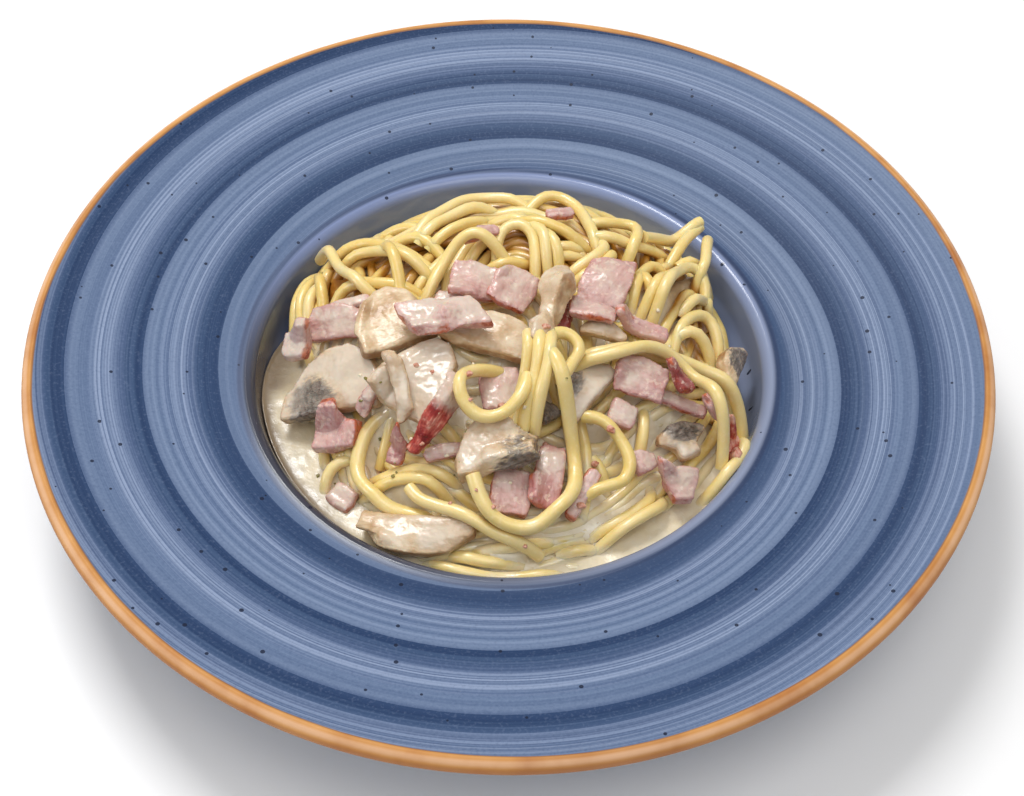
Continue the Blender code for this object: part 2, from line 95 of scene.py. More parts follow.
class Wire:
    """A socket in a node tree. Sums and products of wires add Math nodes to the tree."""

    def __init__(self, tree, socket=None):
        self.tree = tree
        self.socket = socket

    def node(self, kind, settings=None, sockets=None, output=None):
        """Adds a node, its settings first, then its sockets by name or number."""
        made = self.tree.nodes.new(kind)
        for name, value in (settings or {}).items():
            setattr(made, name, value)
        for name, value in (sockets or {}).items():
            usable = [s for s in made.inputs if s.enabled]
            target = usable[name] if isinstance(name, int) else next(s for s in usable if s.name == name)
            if isinstance(value, Wire):
                self.tree.links.new(value.socket, target)
            elif value is not None:
                target.default_value = value
        shown = [s for s in made.outputs if s.enabled]
        return Wire(self.tree, made.outputs[output] if output else (shown[0] if shown else None))

    def geo(self, kind, sockets=None):
        """Adds a Geometry Nodes node that works on this wire, which goes into its first socket."""
        return self.node("GeometryNode" + kind, sockets={0: self, **(sockets or {})})

    def maths(self, operation, *others):
        terms = dict(enumerate((self, *others)))
        return self.node("ShaderNodeMath", {"operation": operation}, terms)

    __add__ = __radd__ = partialmethod(maths, "ADD")
    __mul__ = __rmul__ = partialmethod(maths, "MULTIPLY")
    __sub__ = partialmethod(maths, "SUBTRACT")
    __truediv__ = partialmethod(maths, "DIVIDE")
    __gt__ = partialmethod(maths, "GREATER_THAN")
    __lt__ = partialmethod(maths, "LESS_THAN")

    def __rsub__(self, other):
        return self.node("ShaderNodeMath", {"operation": "SUBTRACT"}, {0: other, 1: self})

    def fade(self, low, high, floor=0.0, ceiling=1.0):
        """Runs smoothly from floor to ceiling as the value goes from low to high."""
        ends = {1: low, 2: high, 3: floor, 4: ceiling}
        return self.node("ShaderNodeMapRange", {"interpolation_type": "SMOOTHSTEP"}, {0: self, **ends})

    def split(self):
        """The three parts of a vector or colour."""
        made = self.tree.nodes.new("ShaderNodeSeparateXYZ")
        self.tree.links.new(self.socket, made.inputs[0])
        return [Wire(self.tree, s) for s in made.outputs]

    def scaled(self, factor):
        """This vector, made longer or shorter."""
        return self.node("ShaderNodeVectorMath", {"operation": "SCALE"}, {0: self, "Scale": factor})

    def mottle(self, scale, detail=3.0, rough=0.6):
        """Noise over a place: blotches about 1 / scale across."""
        sockets = {"Vector": self, "Scale": scale, "Detail": detail, "Roughness": rough}
        return self.node("ShaderNodeTexNoise", sockets=sockets)

    def ramp(self, *stops):
        """The colour that belongs to this value, between stops from 0 to 1."""
        made = self.node("ShaderNodeValToRGB", sockets={0: self}, output="Color")
        marks = made.socket.node.color_ramp.elements
        for _ in stops[2:]:
            marks.new(1.0)
        for mark, (place, colour) in zip(marks, stops):
            mark.position = place
            mark.color = shade(*colour)
        return made

    def tint(self, *coats):
        """This colour, painted over with others in turn, each by a share from 0 to 1."""
        made = self
        for share, colour in coats:
            sockets = {"Factor": share, "A": made, "B": colour}
            if not isinstance(colour, Wire):
                sockets["B"] = shade(*colour)
            made = self.node("ShaderNodeMix", {"data_type": "RGBA"}, sockets)
        return made

    def attribute(self, name, kind="Fac"):
        return self.node("ShaderNodeAttribute", {"attribute_name": name}, output=kind)


def new_finish(name, constants, glow=(0.0, 0.05)):
    """A new material, with the values that are the same all over it, its shader and its place.

    glow is how much light comes back from under the skin, and from how deep.
    """
    made = bpy.data.materials.new(name)
    made.use_nodes = True
    shader = made.node_tree.nodes["Principled BSDF"]
    under = {"Subsurface Weight": glow[0], "Subsurface Scale": glow[1]}
    for socket, value in {**under, **constants}.items():
        shader.inputs[socket].default_value = value
    place = Wire(made.node_tree).node("ShaderNodeTexCoord", output="Object")
    return made, shader, place


def feed(shader, wires):
    """Feeds wires into a shader's sockets by name; Relief is a height in metres, felt as bumps."""
    for name, wire in wires.items():
        if name == "Relief":
            name = "Normal"
            wire = wire.node("ShaderNodeBump", sockets={"Height": wire, "Distance": 1.0})
        wire.tree.links.new(wire.socket, shader.inputs[name])


PITCH = 0.0204  # the brush moved in by this much for each turn of the plate
BRUSH_START = 0.1346
LIP_RADIUS = 0.135
SHOULDER_RADIUS = 0.0762
WELL_RADIUS = 0.074
WELL_FLOOR = 0.0075
FLOOR_RADIUS = 0.054
FOOT_INNER, FOOT_OUTER = 0.053, 0.058
BASE_HEIGHT = 0.0032
PLATE_SIDES = 288

glaze, glaze_shader, place = new_finish("blue_glaze", {"Specular IOR Level": 0.2, "Coat Roughness": 0.2})
x, y, z = place.split()
radius = (x * x + y * y).maths("SQRT")
turn = y.maths("ARCTAN2", x) / math.tau
drift = place.mottle(9.0, 1.0, 0.5)
inward = (BRUSH_START - radius) / PITCH - turn + (drift - 0.5) * 0.07
turns_done = inward.maths("FLOOR")
stroke = inward - turns_done  # 0 at the band's outer edge, 1 at its inner edge
travel = turns_done + turn  # turns that the brush has run when it is here


def bristles(fineness, run, detail):
    """Streaks that a brush draws along its band: fine across it, long along it."""
    parts = {0: stroke * fineness, 1: travel * run, 2: fineness}
    spot = stroke.node("ShaderNodeCombineXYZ", sockets=parts)
    return spot.mottle(1.0, detail)


broad = bristles(9.0, 0.9, 1.0)
streaks = bristles(26.0, 0.9, 2.0)
furrows = bristles(14.0, 0.7, 2.0)
hairs = bristles(70.0, 2.0, 1.0)
depth = (EDGE_RADIUS - radius) * 1.6 - 0.03  # the glaze lies thicker towards the well
load = stroke + (broad - 0.5) * 0.24 * stroke.fade(0.2, 0.5)
load = load + (streaks - 0.5) * 0.5 * stroke.fade(0.45, 0.6) + depth
band = load.ramp(
    (0.00, (80, 99, 133)), (0.06, (104, 122, 153)), (0.20, (107, 126, 157)), (0.31, (95, 114, 147)),
    (0.40, (109, 127, 158)), (0.50, (100, 118, 150)), (0.57, (100, 118, 150)), (0.66, (76, 95, 130)),
    (0.80, (56, 79, 114)), (0.93, (26, 52, 90)), (1.00, (41, 65, 102)))
ridges = streaks.fade(0.52, 0.6) * stroke.fade(0.26, 0.36) * stroke.fade(0.75, 0.5)
pale_part = stroke.fade(0.85, 0.6) * stroke.fade(0.02, 0.14)
middle_part = stroke.fade(0.3, 0.4) * stroke.fade(0.8, 0.6)
grain = place.mottle(1300.0, 2.0, 0.5)
well_wall = radius.fade(SHOULDER_RADIUS + 0.001, SHOULDER_RADIUS - 0.0006)
shoulder_line = radius.fade(0.0784, 0.0775) * radius.fade(0.0762, 0.0771)
blue = band.tint(
    (furrows.fade(0.5, 0.64) * pale_part * 0.4, (142, 158, 188)),
    (furrows.fade(0.5, 0.36) * pale_part * 0.45, (70, 90, 126)),
    (ridges * 0.6, (160, 175, 204)),
    (hairs.fade(0.55, 0.68) * middle_part * 0.3, (150, 166, 198)),
    (hairs.fade(0.46, 0.34) * stroke.fade(0.25, 0.6) * 0.4, (34, 58, 98)),
    (grain.fade(0.5, 0.75) * 0.12, (146, 162, 194)),
    (grain.fade(0.5, 0.25) * 0.18, (36, 60, 98)),
    # painted shade: the glaze is made a little darker all over, and more towards the right; then darker
    # towards the shoulder
    (x.fade(-0.1, 0.12) * 0.09 + 0.05, (18, 30, 56)),
    (radius.fade(0.09, 0.078) * 0.36, (62, 82, 116)),
    # the well's wall in its grey glaze; then painted light on it: lighter towards the right as a painted
    # reflection, and lighter at the back, where the front light falls
    (well_wall, (60, 62, 74)),
    (well_wall * x.fade(-0.05, 0.06) * 0.65, (156, 168, 198)),
    (well_wall * y.fade(-0.02, 0.06) * 0.75, (132, 148, 190)),
    (shoulder_line * (0.25 + broad * 0.6), (42, 52, 84)))
cells = {"Vector": place, "Scale": 155.0}
speck_near, speck_kind = (place.node("ShaderNodeTexVoronoi", {"voronoi_dimensions": "2D"}, cells, part)
                          for part in ("Distance", "Color"))
chosen, speck_size = speck_kind.split()[:2]
specks = (speck_near < speck_size * 0.06 + 0.035) * (chosen > 0.84)
lip_drift = place.mottle(22.0, 2.0, 0.5)
bare_edge = EDGE_RADIUS - 0.0001 + (lip_drift - 0.5) * 0.0012
bare_lip = radius.fade(bare_edge - 0.0002, bare_edge + 0.0002)
foot = (z < 0.0004) * (radius > FOOT_INNER - 0.001)
clay_drift = place.mottle(60.0, 4.0, 0.5)
# painted highlight: a pale band along the crest of the bare lip
crest_highlight = radius.fade(0.1327, 0.1335) * radius.fade(0.1347, 0.1339)
# painted shade: the outside of the lip, below its crest, is darker
shaded_outer_lip = radius.fade(0.1344, 0.1349) * z.fade(EDGE_HEIGHT + 0.001, EDGE_HEIGHT - 0.002)
clay = clay_drift.ramp((0.30, (174, 112, 60)), (0.48, (196, 138, 76)), (0.70, (210, 154, 92)))
clay = clay.tint(
    (lip_drift.fade(0.56, 0.7) * 0.3, (150, 94, 58)),
    (crest_highlight * (clay_drift.fade(0.3, 0.6) * 0.3 + 0.3), (226, 186, 154)),
    (shaded_outer_lip * 0.5, (150, 88, 50)),
    (radius.fade(bare_edge + 0.0006, bare_edge) * 0.6, (96, 66, 56)))
relief = streaks * 0.00004 + broad * 0.00005
feed(glaze_shader, {
    "Base Color": blue.tint((specks * 0.9, (16, 26, 50)), (bare_lip.maths("MAXIMUM", foot), clay)),
    "Roughness": 0.46 - well_wall * 0.28,
    "Coat Weight": radius.fade(SHOULDER_RADIUS + 0.003, SHOULDER_RADIUS - 0.001) * 0.5,
    "Normal": relief.node("ShaderNodeBump", sockets={
        "Height": relief, "Distance": 1.0, "Strength": 0.8})})


def arc(centre, size, start, end, steps):
    """Points of a round stretch of a section, angles in degrees."""
    angles = [math.radians(start + (end - start) * k / steps) for k in range(steps + 1)]
    return [(centre[0] + size * math.cos(a), centre[1] + size * math.sin(a)) for a in angles]


def plate_section():
    """Section of the plate from the middle of its underside round the lip to the middle of its floor."""
    under = [(0, BASE_HEIGHT), (FOOT_INNER - 0.002, BASE_HEIGHT), (FOOT_INNER - 0.0005, 0.0003),
             (FOOT_INNER, 0), (FOOT_OUTER, 0), (FOOT_OUTER + 0.0005, 0.0005),
             (FOOT_OUTER + 0.002, 0.0026)]
    under += [(0.068, 0.006), (WELL_RADIUS + 0.0005, 0.0115), (WELL_RADIUS + 0.0036, 0.018),
              (WELL_RADIUS + 0.0065, 0.0226), (0.09, 0.0254), (0.11, 0.0314),
              (EDGE_RADIUS - 0.0025, 0.0372)]
    lip = arc((LIP_RADIUS - 0.0027, EDGE_HEIGHT - 0.0023), 0.0027, -60, 95, 16)
    rim = []
    for k in range(13):
        share = k / 12
        r = EDGE_RADIUS + (SHOULDER_RADIUS - EDGE_RADIUS) * share
        rim.append((r, EDGE_HEIGHT - 0.015 * share - 0.0005 * math.sin(math.pi * share)))
    shoulder = arc((WELL_RADIUS + 0.0022, 0.0238), 0.0034, 95, 178, 8)
    stretch = (WELL_RADIUS - 0.0022 - FLOOR_RADIUS) / 0.016
    wall = []
    for r, height in arc((FLOOR_RADIUS, WELL_FLOOR + 0.016), 0.016, 0, -90, 10):
        wall.append((FLOOR_RADIUS + (r - FLOOR_RADIUS) * stretch, height * 0.75 + WELL_FLOOR * 0.25))
    return under + lip + rim + shoulder + wall + [(FLOOR_RADIUS / 2, WELL_FLOOR), (0, WELL_FLOOR)]


def new_tree(name, inputs):
    """A Geometry Nodes tree; gives it, and wires from its geometry and from its named inputs."""
    tree = bpy.data.node_groups.new(name, "GeometryNodeTree")
    tree.interface.new_socket("Geometry", in_out="OUTPUT", socket_type="NodeSocketGeometry")
    for label, kind in {"Geometry": "Geometry", **inputs}.items():
        tree.interface.new_socket(label, in_out="INPUT", socket_type="NodeSocket" + kind)
    start = tree.nodes.new("NodeGroupInput")
    return tree, [Wire(tree, s) for s in start.outputs if s.name]


def close_tree(shape, finish):
    """Ends a tree: smooth shading, instances made real, and the material set."""
    done = shape.geo("SetShadeSmooth").geo("RealizeInstances").geo("SetMaterial", {"Material": finish})
    end = done.tree.nodes.new("NodeGroupOutput")
    done.tree.links.new(done.socket, end.inputs[0])


def grow(name, seedling, tree, values):
    """Runs a tree on a mesh and gives the result as a plain mesh object."""
    holder = put(name + "_plan", seedling)
    step = holder.modifiers.new("grow", "NODES")
    step.node_group = tree
    names = {s.name: s.identifier for s in tree.interface.items_tree if s.in_out == "INPUT"}
    for label, value in values.items():
        step[names[label]] = value
    graph = bpy.context.evaluated_depsgraph_get()
    mesh = bpy.data.meshes.new_from_object(holder.evaluated_get(graph))
    bpy.data.objects.remove(holder)
    mesh.name = name
    return put(name, mesh)


HUB = 0.0001  # the wheel's hub, small enough for the section to close over it
tree, (profile, sides) = new_tree("turned_on_wheel", {"Sides": "Int"})
line = profile.geo("MeshToCurve")
wheel = sides.node("GeometryNodeCurvePrimitiveCircle", sockets={"Resolution": sides, "Radius": HUB})
turned = wheel.geo("CurveToMesh", {"Profile Curve": line})
turned = turned.geo("MergeByDistance", {"Distance": HUB / 4}).geo("FlipFaces")
close_tree(turned, glaze)
section = plate_section()
profile_mesh = bpy.data.meshes.new("plate_profile")
profile_mesh.from_pydata([(r - HUB, -height, 0) for r, height in section],
                         [(k, k + 1) for k in range(len(section) - 1)], [])
plate = grow("pasta_plate", profile_mesh, tree, {"Sides": PLATE_SIDES})
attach(plate, "root")
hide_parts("plate")

# ------------------------ spaghetti
# Boiled spaghetti, tossed in the sauce and twirled on to the plate. Strands lie in bundles that run
# round the heap and cross at flat angles, and the last ones fall in loose loops over the toppings.
#
# Everything rests on what was served before it. The pile is kept as a field of heights over the
# well: each strand sinks on to it, bridges its dips, and then becomes part of it.

MILLI = 0.001
CELL = 0.0005  # step of the field of heights
SPAN = 0.079  # half the side of the field
STRAND = 0.0017  # a cooked strand's radius
STRAND_SIDES = 12
END_RISE = 0.014  # length over which a free end rises
END_DIVE = 0.009  # length over which an end goes down between the others
DIVE_DEPTH = 0.0042
HEAP_HEIGHT = 0.022  # where the CAD heap has no top
HEAP_EDGE = (0.018, 0.0255)  # heights between which its outline is read
CORE_SHARE = 0.88  # the core that hides the plate's floor: its reach, and its depth below
CORE_DEPTH = 0.0085
ROOM_BELOW_TOPPING = 0.004
SKIN = 0.0002  # room left between things that touch
CELLS = int(2 * SPAN / CELL) + 1
grid_x, grid_y = np.meshgrid(np.arange(CELLS) * CELL - SPAN, np.arange(CELLS) * CELL - SPAN)
grid_turn = np.arctan2(grid_y, grid_x)
grid_reach = np.hypot(grid_x, grid_y)


def field_of(node, start, way):
    """Heights at which upright rays from a level meet a CAD solid, over the cells above its box."""
    found = np.full((CELLS, CELLS), np.nan)
    tree = BVHTree.FromObject(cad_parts[node], bpy.context.evaluated_depsgraph_get())
    low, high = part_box(node)
    first, last = (np.rint((np.array(corner[:2]) + SPAN) / CELL).astype(int) for corner in (low, high))
    for j in range(first[1], last[1] + 1):
        for i in range(first[0], last[0] + 1):
            hit = tree.ray_cast(Vector((grid_x[j, i], grid_y[j, i], start)), Vector((0, 0, way)))[0]
            if hit:
                found[j, i] = hit.z
    return found


ABOVE, BELOW = 0.1, 0.0
heap_top = field_of("noodle_heap", ABOVE, -1)
corners = np.array([v.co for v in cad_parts["noodle_heap"].data.vertices])
edge = corners[(corners[:, 2] > HEAP_EDGE[0]) & (corners[:, 2] < HEAP_EDGE[1])]
edge_turn = np.arctan2(edge[:, 1], edge[:, 0])
order = np.argsort(edge_turn)
round_turns = np.linspace(-math.pi, math.pi, 180, endpoint=False)
edge_reach = np.hypot(edge[:, 0], edge[:, 1])
round_reach = np.interp(round_turns, edge_turn[order], edge_reach[order], period=math.tau)
for _ in range(6):
    round_reach = 0.5 * round_reach + 0.25 * (np.roll(round_reach, 1) + np.roll(round_reach, -1))


def heap_reach(turn_to):
    """How far the heap reaches from the plate's middle, in each direction."""
    return np.interp(turn_to, round_turns, round_reach, period=math.tau)


toppings = sorted(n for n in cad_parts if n.split("_")[0] in ("ham", "bacon", "mushroom"))
topping_top = np.full((CELLS, CELLS), np.nan)
topping_foot = np.full((CELLS, CELLS), np.nan)
for name in toppings:
    topping_top = np.fmax(topping_top, field_of(name, ABOVE, -1))
    topping_foot = np.fmin(topping_foot, field_of(name, BELOW, 1))

# the last points of the plate's section are the well's: radii, and heights
well = np.array(sorted(p for p in plate_section()[-24:] if p[0] < SHOULDER_RADIUS + 0.004)).T
bowl = np.interp(grid_reach, *well)
share = grid_reach / heap_reach(grid_turn)
surface = np.where(np.isnan(heap_top), HEAP_HEIGHT, heap_top)
core_top = np.where(share < CORE_SHARE, surface - CORE_DEPTH, bowl)
core_top = np.maximum(np.fmin(core_top, topping_foot - ROOM_BELOW_TOPPING), bowl)
pile = core_top.copy()


def footprint(girth):
    """Cells under a strand's cross section, and how much higher its middle is than each."""
    span = range(-int(girth / CELL), int(girth / CELL) + 1)
    steps = [(i, j) for i in span for j in span if math.hypot(i, j) * CELL < girth]
    lift = [math.sqrt(girth ** 2 - (math.hypot(i, j) * CELL) ** 2) for i, j in steps]
    return np.array(steps), np.array(lift)


def cells_of(points):
    return np.clip(np.rint((points[:, :2] + SPAN) / CELL).astype(int), 6, CELLS - 7)


def read_field(field, points):
    """What a field says at each point."""
    i, j = cells_of(points).T
    return field[j, i]


def cells_under(points, steps):
    """The cells at these steps from each point, as two index arrays."""
    i, j = cells_of(points).T
    return j[:, None] + steps[:, 1], i[:, None] + steps[:, 0]


def rest_height(points, girth):
    """Height of a strand's middle where it touches the pile."""
    steps, lift = footprint(girth)
    return (pile[cells_under(points, steps)] + lift).max(axis=1)


def smooth_line(values, passes):
    values = values.copy()
    for _ in range(passes):
        values[1:-1] = 0.5 * values[1:-1] + 0.25 * (values[:-2] + values[2:])
    return values


def sideways(points):
    """Unit vectors square to a route, to its left."""
    ahead = np.gradient(points, axis=0)
    flat = np.stack([-ahead[:, 1], ahead[:, 0]], axis=1)
    return flat / np.maximum(np.linalg.norm(flat, axis=1, keepdims=True), 1e-9)


def curve_through(stops):
    """A smooth curve through a few stops in millimetres, as points a millimetre apart."""
    stops = np.array(stops) * MILLI
    fine = []
    for k in range(len(stops) - 1):
        a, b, c, d = (stops[min(max(k + m, 0), len(stops) - 1)] for m in (-1, 0, 1, 2))
        for f in np.linspace(0, 1, 12, endpoint=False):
            bend = 2 * a - 5 * b + 4 * c - d + f * (3 * (b - c) + d - a)
            fine.append(b + 0.5 * f * (c - a + f * bend))
    fine = np.array(fine + [stops[-1]])
    run = np.concatenate([[0], np.cumsum(np.linalg.norm(np.diff(fine, axis=0), axis=1))])
    marks = np.linspace(0, run[-1], max(3, int(run[-1] / MILLI)))
    return np.stack([smooth_line(np.interp(marks, run, part), 3) for part in fine.T], axis=1)


SHIFT_TRIES, SHIFT_MOST = 10, 0.00025
BRIDGE_PASSES = 40  # the more of them, the stiffer a strand is where it bridges a dip
NO_LIMIT = 1.0


def lay_strand(route, girth, settle=0.0, cap=None, ends=(None, None), dive=1.0):
    """Lays a strand along a route in plan, sinking sideways into grooves by at most so much.

    It stays below a cap where there is one. An end dives into the pile, unless it stands up to a
    height of its own.
    """
    points = route.copy()
    if settle:
        normal = sideways(points)
        shift = np.zeros(len(points))
        for _ in range(SHIFT_TRIES):
            left = rest_height(points + normal * (shift + STRAND / 3)[:, None], girth)
            right_side = rest_height(points + normal * (shift - STRAND / 3)[:, None], girth)
            shift -= np.clip((left - right_side) * 0.25, -SHIFT_MOST, SHIFT_MOST)
            shift = smooth_line(np.clip(shift, -settle, settle), 6)
        points += normal * shift[:, None]
    touch = rest_height(points, girth)
    limit = NO_LIMIT if cap is None else read_field(cap, points) - girth
    height = np.minimum(touch, limit)
    for _ in range(BRIDGE_PASSES):
        height = np.minimum(np.maximum(smooth_line(height, 2), touch), limit)
    height = smooth_line(height, 6)
    along = np.arange(len(points)) * np.linalg.norm(points[1] - points[0])
    for end, far in zip(ends, (along, along[-1] - along)):
        if end is not None:
            near = np.clip(1 - far / END_RISE, 0, 1)
            height += (end * MILLI - height[0 if far[0] == 0 else -1]) * near * near * (3 - 2 * near)
        else:
            near = np.clip(1 - far / END_DIVE, 0, 1)
            height -= dive * DIVE_DEPTH * near ** 1.5
    steps, lift = footprint(girth)
    np.maximum.at(pile, cells_under(points, steps), height[:, None] + lift)
    return np.column_stack([points, height])


chance = np.random.default_rng(7)
laid = []  # every strand: its points, radius and tone


WOBBLE, CURL_KEPT = 0.011, 0.94  # how much a curl changes in each millimetre, and how long it lasts
STEERING = 0.06  # how fast it comes back to its way round
NEAR_EDGE, TURN_IN = 0.84, 6.0  # from where on, and how sharply, it turns inwards


def wander(start, length, lean, way):
    """A strand's route: it runs round the heap, leans in or out, and curls a little by chance."""
    x0, y0 = start
    heading = math.atan2(y0, x0) + way * math.pi / 2 + chance.normal(0, 0.4)
    curl = 0.0
    route = []
    for _ in range(int(length / MILLI)):
        route.append((x0, y0))
        near = math.hypot(x0, y0) / heap_reach(math.atan2(y0, x0))
        wanted = math.atan2(y0, x0) + way * (math.pi / 2 + lean + TURN_IN * max(0.0, near - NEAR_EDGE))
        short_way = (wanted - heading + math.pi) % math.tau - math.pi
        curl = CURL_KEPT * curl + chance.normal(0, WOBBLE)
        heading += STEERING * short_way + curl
        x0 += MILLI * math.cos(heading)
        y0 += MILLI * math.sin(heading)
    route = np.array(route)
    turn_to = np.arctan2(route[:, 1], route[:, 0])
    slack = 0.97 - 0.11 * np.exp(-((turn_to % math.tau - 3.3) / 0.42) ** 2)
    slack -= 0.07 * np.exp(-((turn_to - 0.05) / 0.4) ** 2)
    outside = np.hypot(*route.T) / heap_reach(turn_to) / slack
    return smooth_line(route / np.maximum(outside, 1)[:, None], 8)


def room_over(route, target):
    """How much lower than it should be the pile is along a route, on average."""
    return float(np.mean(read_field(target - pile, route)))


def keep_strand(kind, route, girth, tone, **laying):
    """Lays a strand and keeps it with its radius and its tone."""
    kind.append((lay_strand(route, girth, **laying), girth, tone))


BUNDLES, WIDEST = 95, 4  # how many bundles, and the most strands in one
PLACES_TRIED = 10
STRAND_GAP = 2.05  # from one strand of a bundle to the next, in radii
WORTH_FILLING = 0.0012  # a strand is left out where the pile is nearly high enough


def serve_bundles(target, cap):
    """Lays bundles of strands where the pile is still lowest."""
    for _ in range(BUNDLES):
        tries = []
        for _ in range(PLACES_TRIED):
            at = chance.uniform(-math.pi, math.pi)
            reach = math.sqrt(chance.uniform(0.01, 0.95)) * heap_reach(at)
            way = 1 if chance.random() < 0.65 else -1
            start = (reach * math.cos(at), reach * math.sin(at))
            tries.append(wander(start, chance.uniform(0.07, 0.14), chance.normal(0, 0.45), way))
        best = max(tries, key=lambda route: room_over(route, target))
        count = int(chance.integers(2, WIDEST + 1))
        for k in range(count):
            beside = best + sideways(best) * (k - 0.5 * count) * STRAND_GAP * STRAND
            cut = chance.integers(0, 12, 2)
            beside = smooth_line(beside, 4)[cut[0]:len(best) - cut[1]]
            girth = STRAND * chance.uniform(0.92, 1.06)
            if room_over(beside, target) > WORTH_FILLING:
                keep_strand(laid, beside, girth, chance.random(), settle=0.0012, cap=cap, dive=0.6)


serve_bundles(surface - 0.0032, np.where(np.isnan(topping_foot), surface - 0.0018, topping_foot - SKIN))

# the strands that lie uppermost, as stops in millimetres on the plate: first those that the
# toppings lie on, then those that fell over the toppings
back_left = [
    [(-64, 14), (-64, 21), (-63, 27), (-60, 33), (-57, 37)], [(-61, 12), (-62, 19), (-60, 26), (-57, 31)],
    [(-59, 11), (-59, 17), (-57, 23)], [(-54, 10), (-55, 18), (-57, 27)],
    [(-55, 27), (-50, 32), (-45, 33), (-40, 31), (-35, 27), (-29, 22), (-22, 17)],
    [(-52, 24), (-47, 28), (-41, 27), (-35, 23), (-29, 19), (-22, 14)],
    [(-34, 29), (-29, 30), (-24, 27), (-19, 22)], [(-47, 6), (-40, 8), (-32, 8), (-25, 8)],
    [(-51, 8), (-50, 13), (-46, 15), (-40, 13), (-32, 11), (-24, 9)], [(-39, 6), (-31, 7), (-24, 5)],
    [(-37, 27), (-34, 20), (-32, 14), (-31, 9)]]
back_top = [
    [(-9, 16), (-2, 18), (6, 20)], [(8, 19), (15, 21), (22, 22)], [(8, 23), (15, 24), (22, 25)],
    [(-7, 36), (0, 35), (7, 32), (15, 30), (22, 28)], [(0, 33), (8, 31), (16, 28), (23, 25)],
    [(-28, 30), (-25, 35), (-20, 41), (-14, 46), (-7, 48), (0, 47), (6, 44)],
    [(-27, 27), (-22, 33), (-15, 39), (-9, 42), (-4, 42)], [(-24, 25), (-18, 30), (-12, 34), (-7, 38)],
    [(4, 42), (9, 47), (14, 48), (19, 44), (22, 37), (24, 30), (25, 23)],
    [(13, 13), (19, 17), (24, 21), (27, 25), (26, 29)], [(16, 11), (22, 15), (27, 19), (29, 24)],
    [(-4, 20), (-4, 25), (-2, 29), (2, 30), (6, 27), (7, 21), (7, 14)],
    [(5, 30), (9, 27), (10, 21), (11, 14)], [(10, 27), (13, 22), (14, 15)]]
back_right = [
    [(23, 30), (30, 30), (36, 30), (42, 32), (47, 33)],
    [(22, 36), (29, 37), (34, 38), (37, 36), (36, 29), (32, 21)], [(43, 26), (48, 30), (52, 33)],
    [(34, 5), (36, 13), (38, 20), (41, 25), (44, 25), (46, 21)], [(37, 17), (40, 12), (39, 6)],
    [(36, 2), (40, 9), (44, 17), (48, 25), (51, 29)], [(42, -2), (46, 6), (50, 15), (54, 21)],
    [(39, 0), (43, 8), (47, 17), (51, 25), (54, 27), (57, 23), (57, 18)], [(49, 27), (55, 31), (60, 31)],
    [(46, -5), (48, 1), (51, 6), (55, 10), (58, 9), (60, 4), (60, -2)],
    [(47, -1), (52, 1), (56, -1), (58, -5)]]
front = [
    [(-23, -65), (-17, -68), (-9, -70), (0, -70), (9, -70), (16, -69)],
    [(-18, -63), (-10, -66), (-2, -67), (5, -66)], [(-9, -63), (-2, -64), (6, -63), (13, -60)],
    [(14, -63), (20, -62), (26, -60)], [(14, -66), (20, -66), (26, -65)],
    [(-42, -36), (-47, -37), (-50, -41), (-50, -46), (-48, -49)], [(-32, -27), (-33, -33), (-35, -38)],
    [(-40, -42), (-33, -43), (-26, -43), (-19, -45), (-12, -47)],
    [(-40, -46), (-32, -46), (-24, -47), (-15, -50)],
    [(66, -22), (66, -29), (63, -35), (58, -41), (52, -46), (47, -49)], [(23, -38), (26, -42), (27, -46)],
    [(39, -43), (39, -47), (35, -51), (29, -55), (22, -58)],
    [(43, -45), (41, -50), (36, -54), (30, -58), (24, -61)], [(37, -24), (37, -30), (36, -36), (34, -41)]]
fallen_over = [
    ([(-25, 4), (-22, 11), (-19, 17), (-15, 22), (-10, 24), (-5, 22), (-1, 19)], 1.7),
    ([(20, -31), (25, -32), (29, -35), (32, -39), (33, -43), (31, -47), (26, -49), (21, -51)], 1.75),
    ([(-26, -49), (-24, -52), (-21, -54), (-16, -56), (-10, -59), (-4, -62), (3, -64), (9, -65)], 1.8),
    ([(15, -16), (24, -15), (33, -13), (41, -10), (48, -9), (54, -10), (60, -12), (65, -16), (67, -21)],
      1.9),
    ([(14, -20), (19, -19), (25, -18), (32, -16), (40, -12), (46, -12), (50, -15), (54, -19), (57, -24),
      (59, -30), (59, -36)], 1.8), ([(5, -15), (5, -21), (4, -27), (2, -33), (1, -37)], 1.7),
    ([(8, -15), (8, -21), (7, -28), (5, -34), (4, -38)], 1.8),
    ([(11, -15), (11, -21), (10, -28), (8, -34), (7, -38)], 1.7),
    ([(-1, -20), (-6, -22), (-11, -26), (-13, -31), (-12, -35), (-8, -38), (-3, -38), (1, -36), (4, -32),
      (5, -27)], 1.8), ([(12, -15), (16, -16)], 1.6),
    ([(12, -14), (15, -13), (18, -15), (19, -18), (17, -22), (15, -26), (13, -29)], 1.7),
    ([(11, -23), (13, -27), (15, -32), (17, -38), (18, -44), (18, -50), (16, -55), (12, -59), (7, -62),
      (1, -62), (-4, -60), (-7, -56), (-9, -51)], 2.0)]
tucked_under = [  # under the toppings at one end, over the other strands elsewhere
    ([(-33, -26), (-37, -29), (-40, -34), (-41, -39), (-40, -44), (-37, -48), (-32, -52), (-26, -54),
      (-19, -56), (-13, -58)], 2.0)]
free_ends = [  # with the heights at which they end
    ([(-58, 39), (-54, 32), (-50, 23), (-46, 16), (-42, 11), (-38, 9)], (25, None)),
    ([(39, 33), (46, 38), (52, 43), (57, 47)], (None, 36)),
    ([(57, 46), (53, 41), (50, 35), (46, 28)], (35, None)),
    ([(54, 22), (57, 28), (58, 35), (59, 41)], (None, 34)),
    ([(48, 7), (53, 13), (57, 19), (58, 24)], (None, 29))]

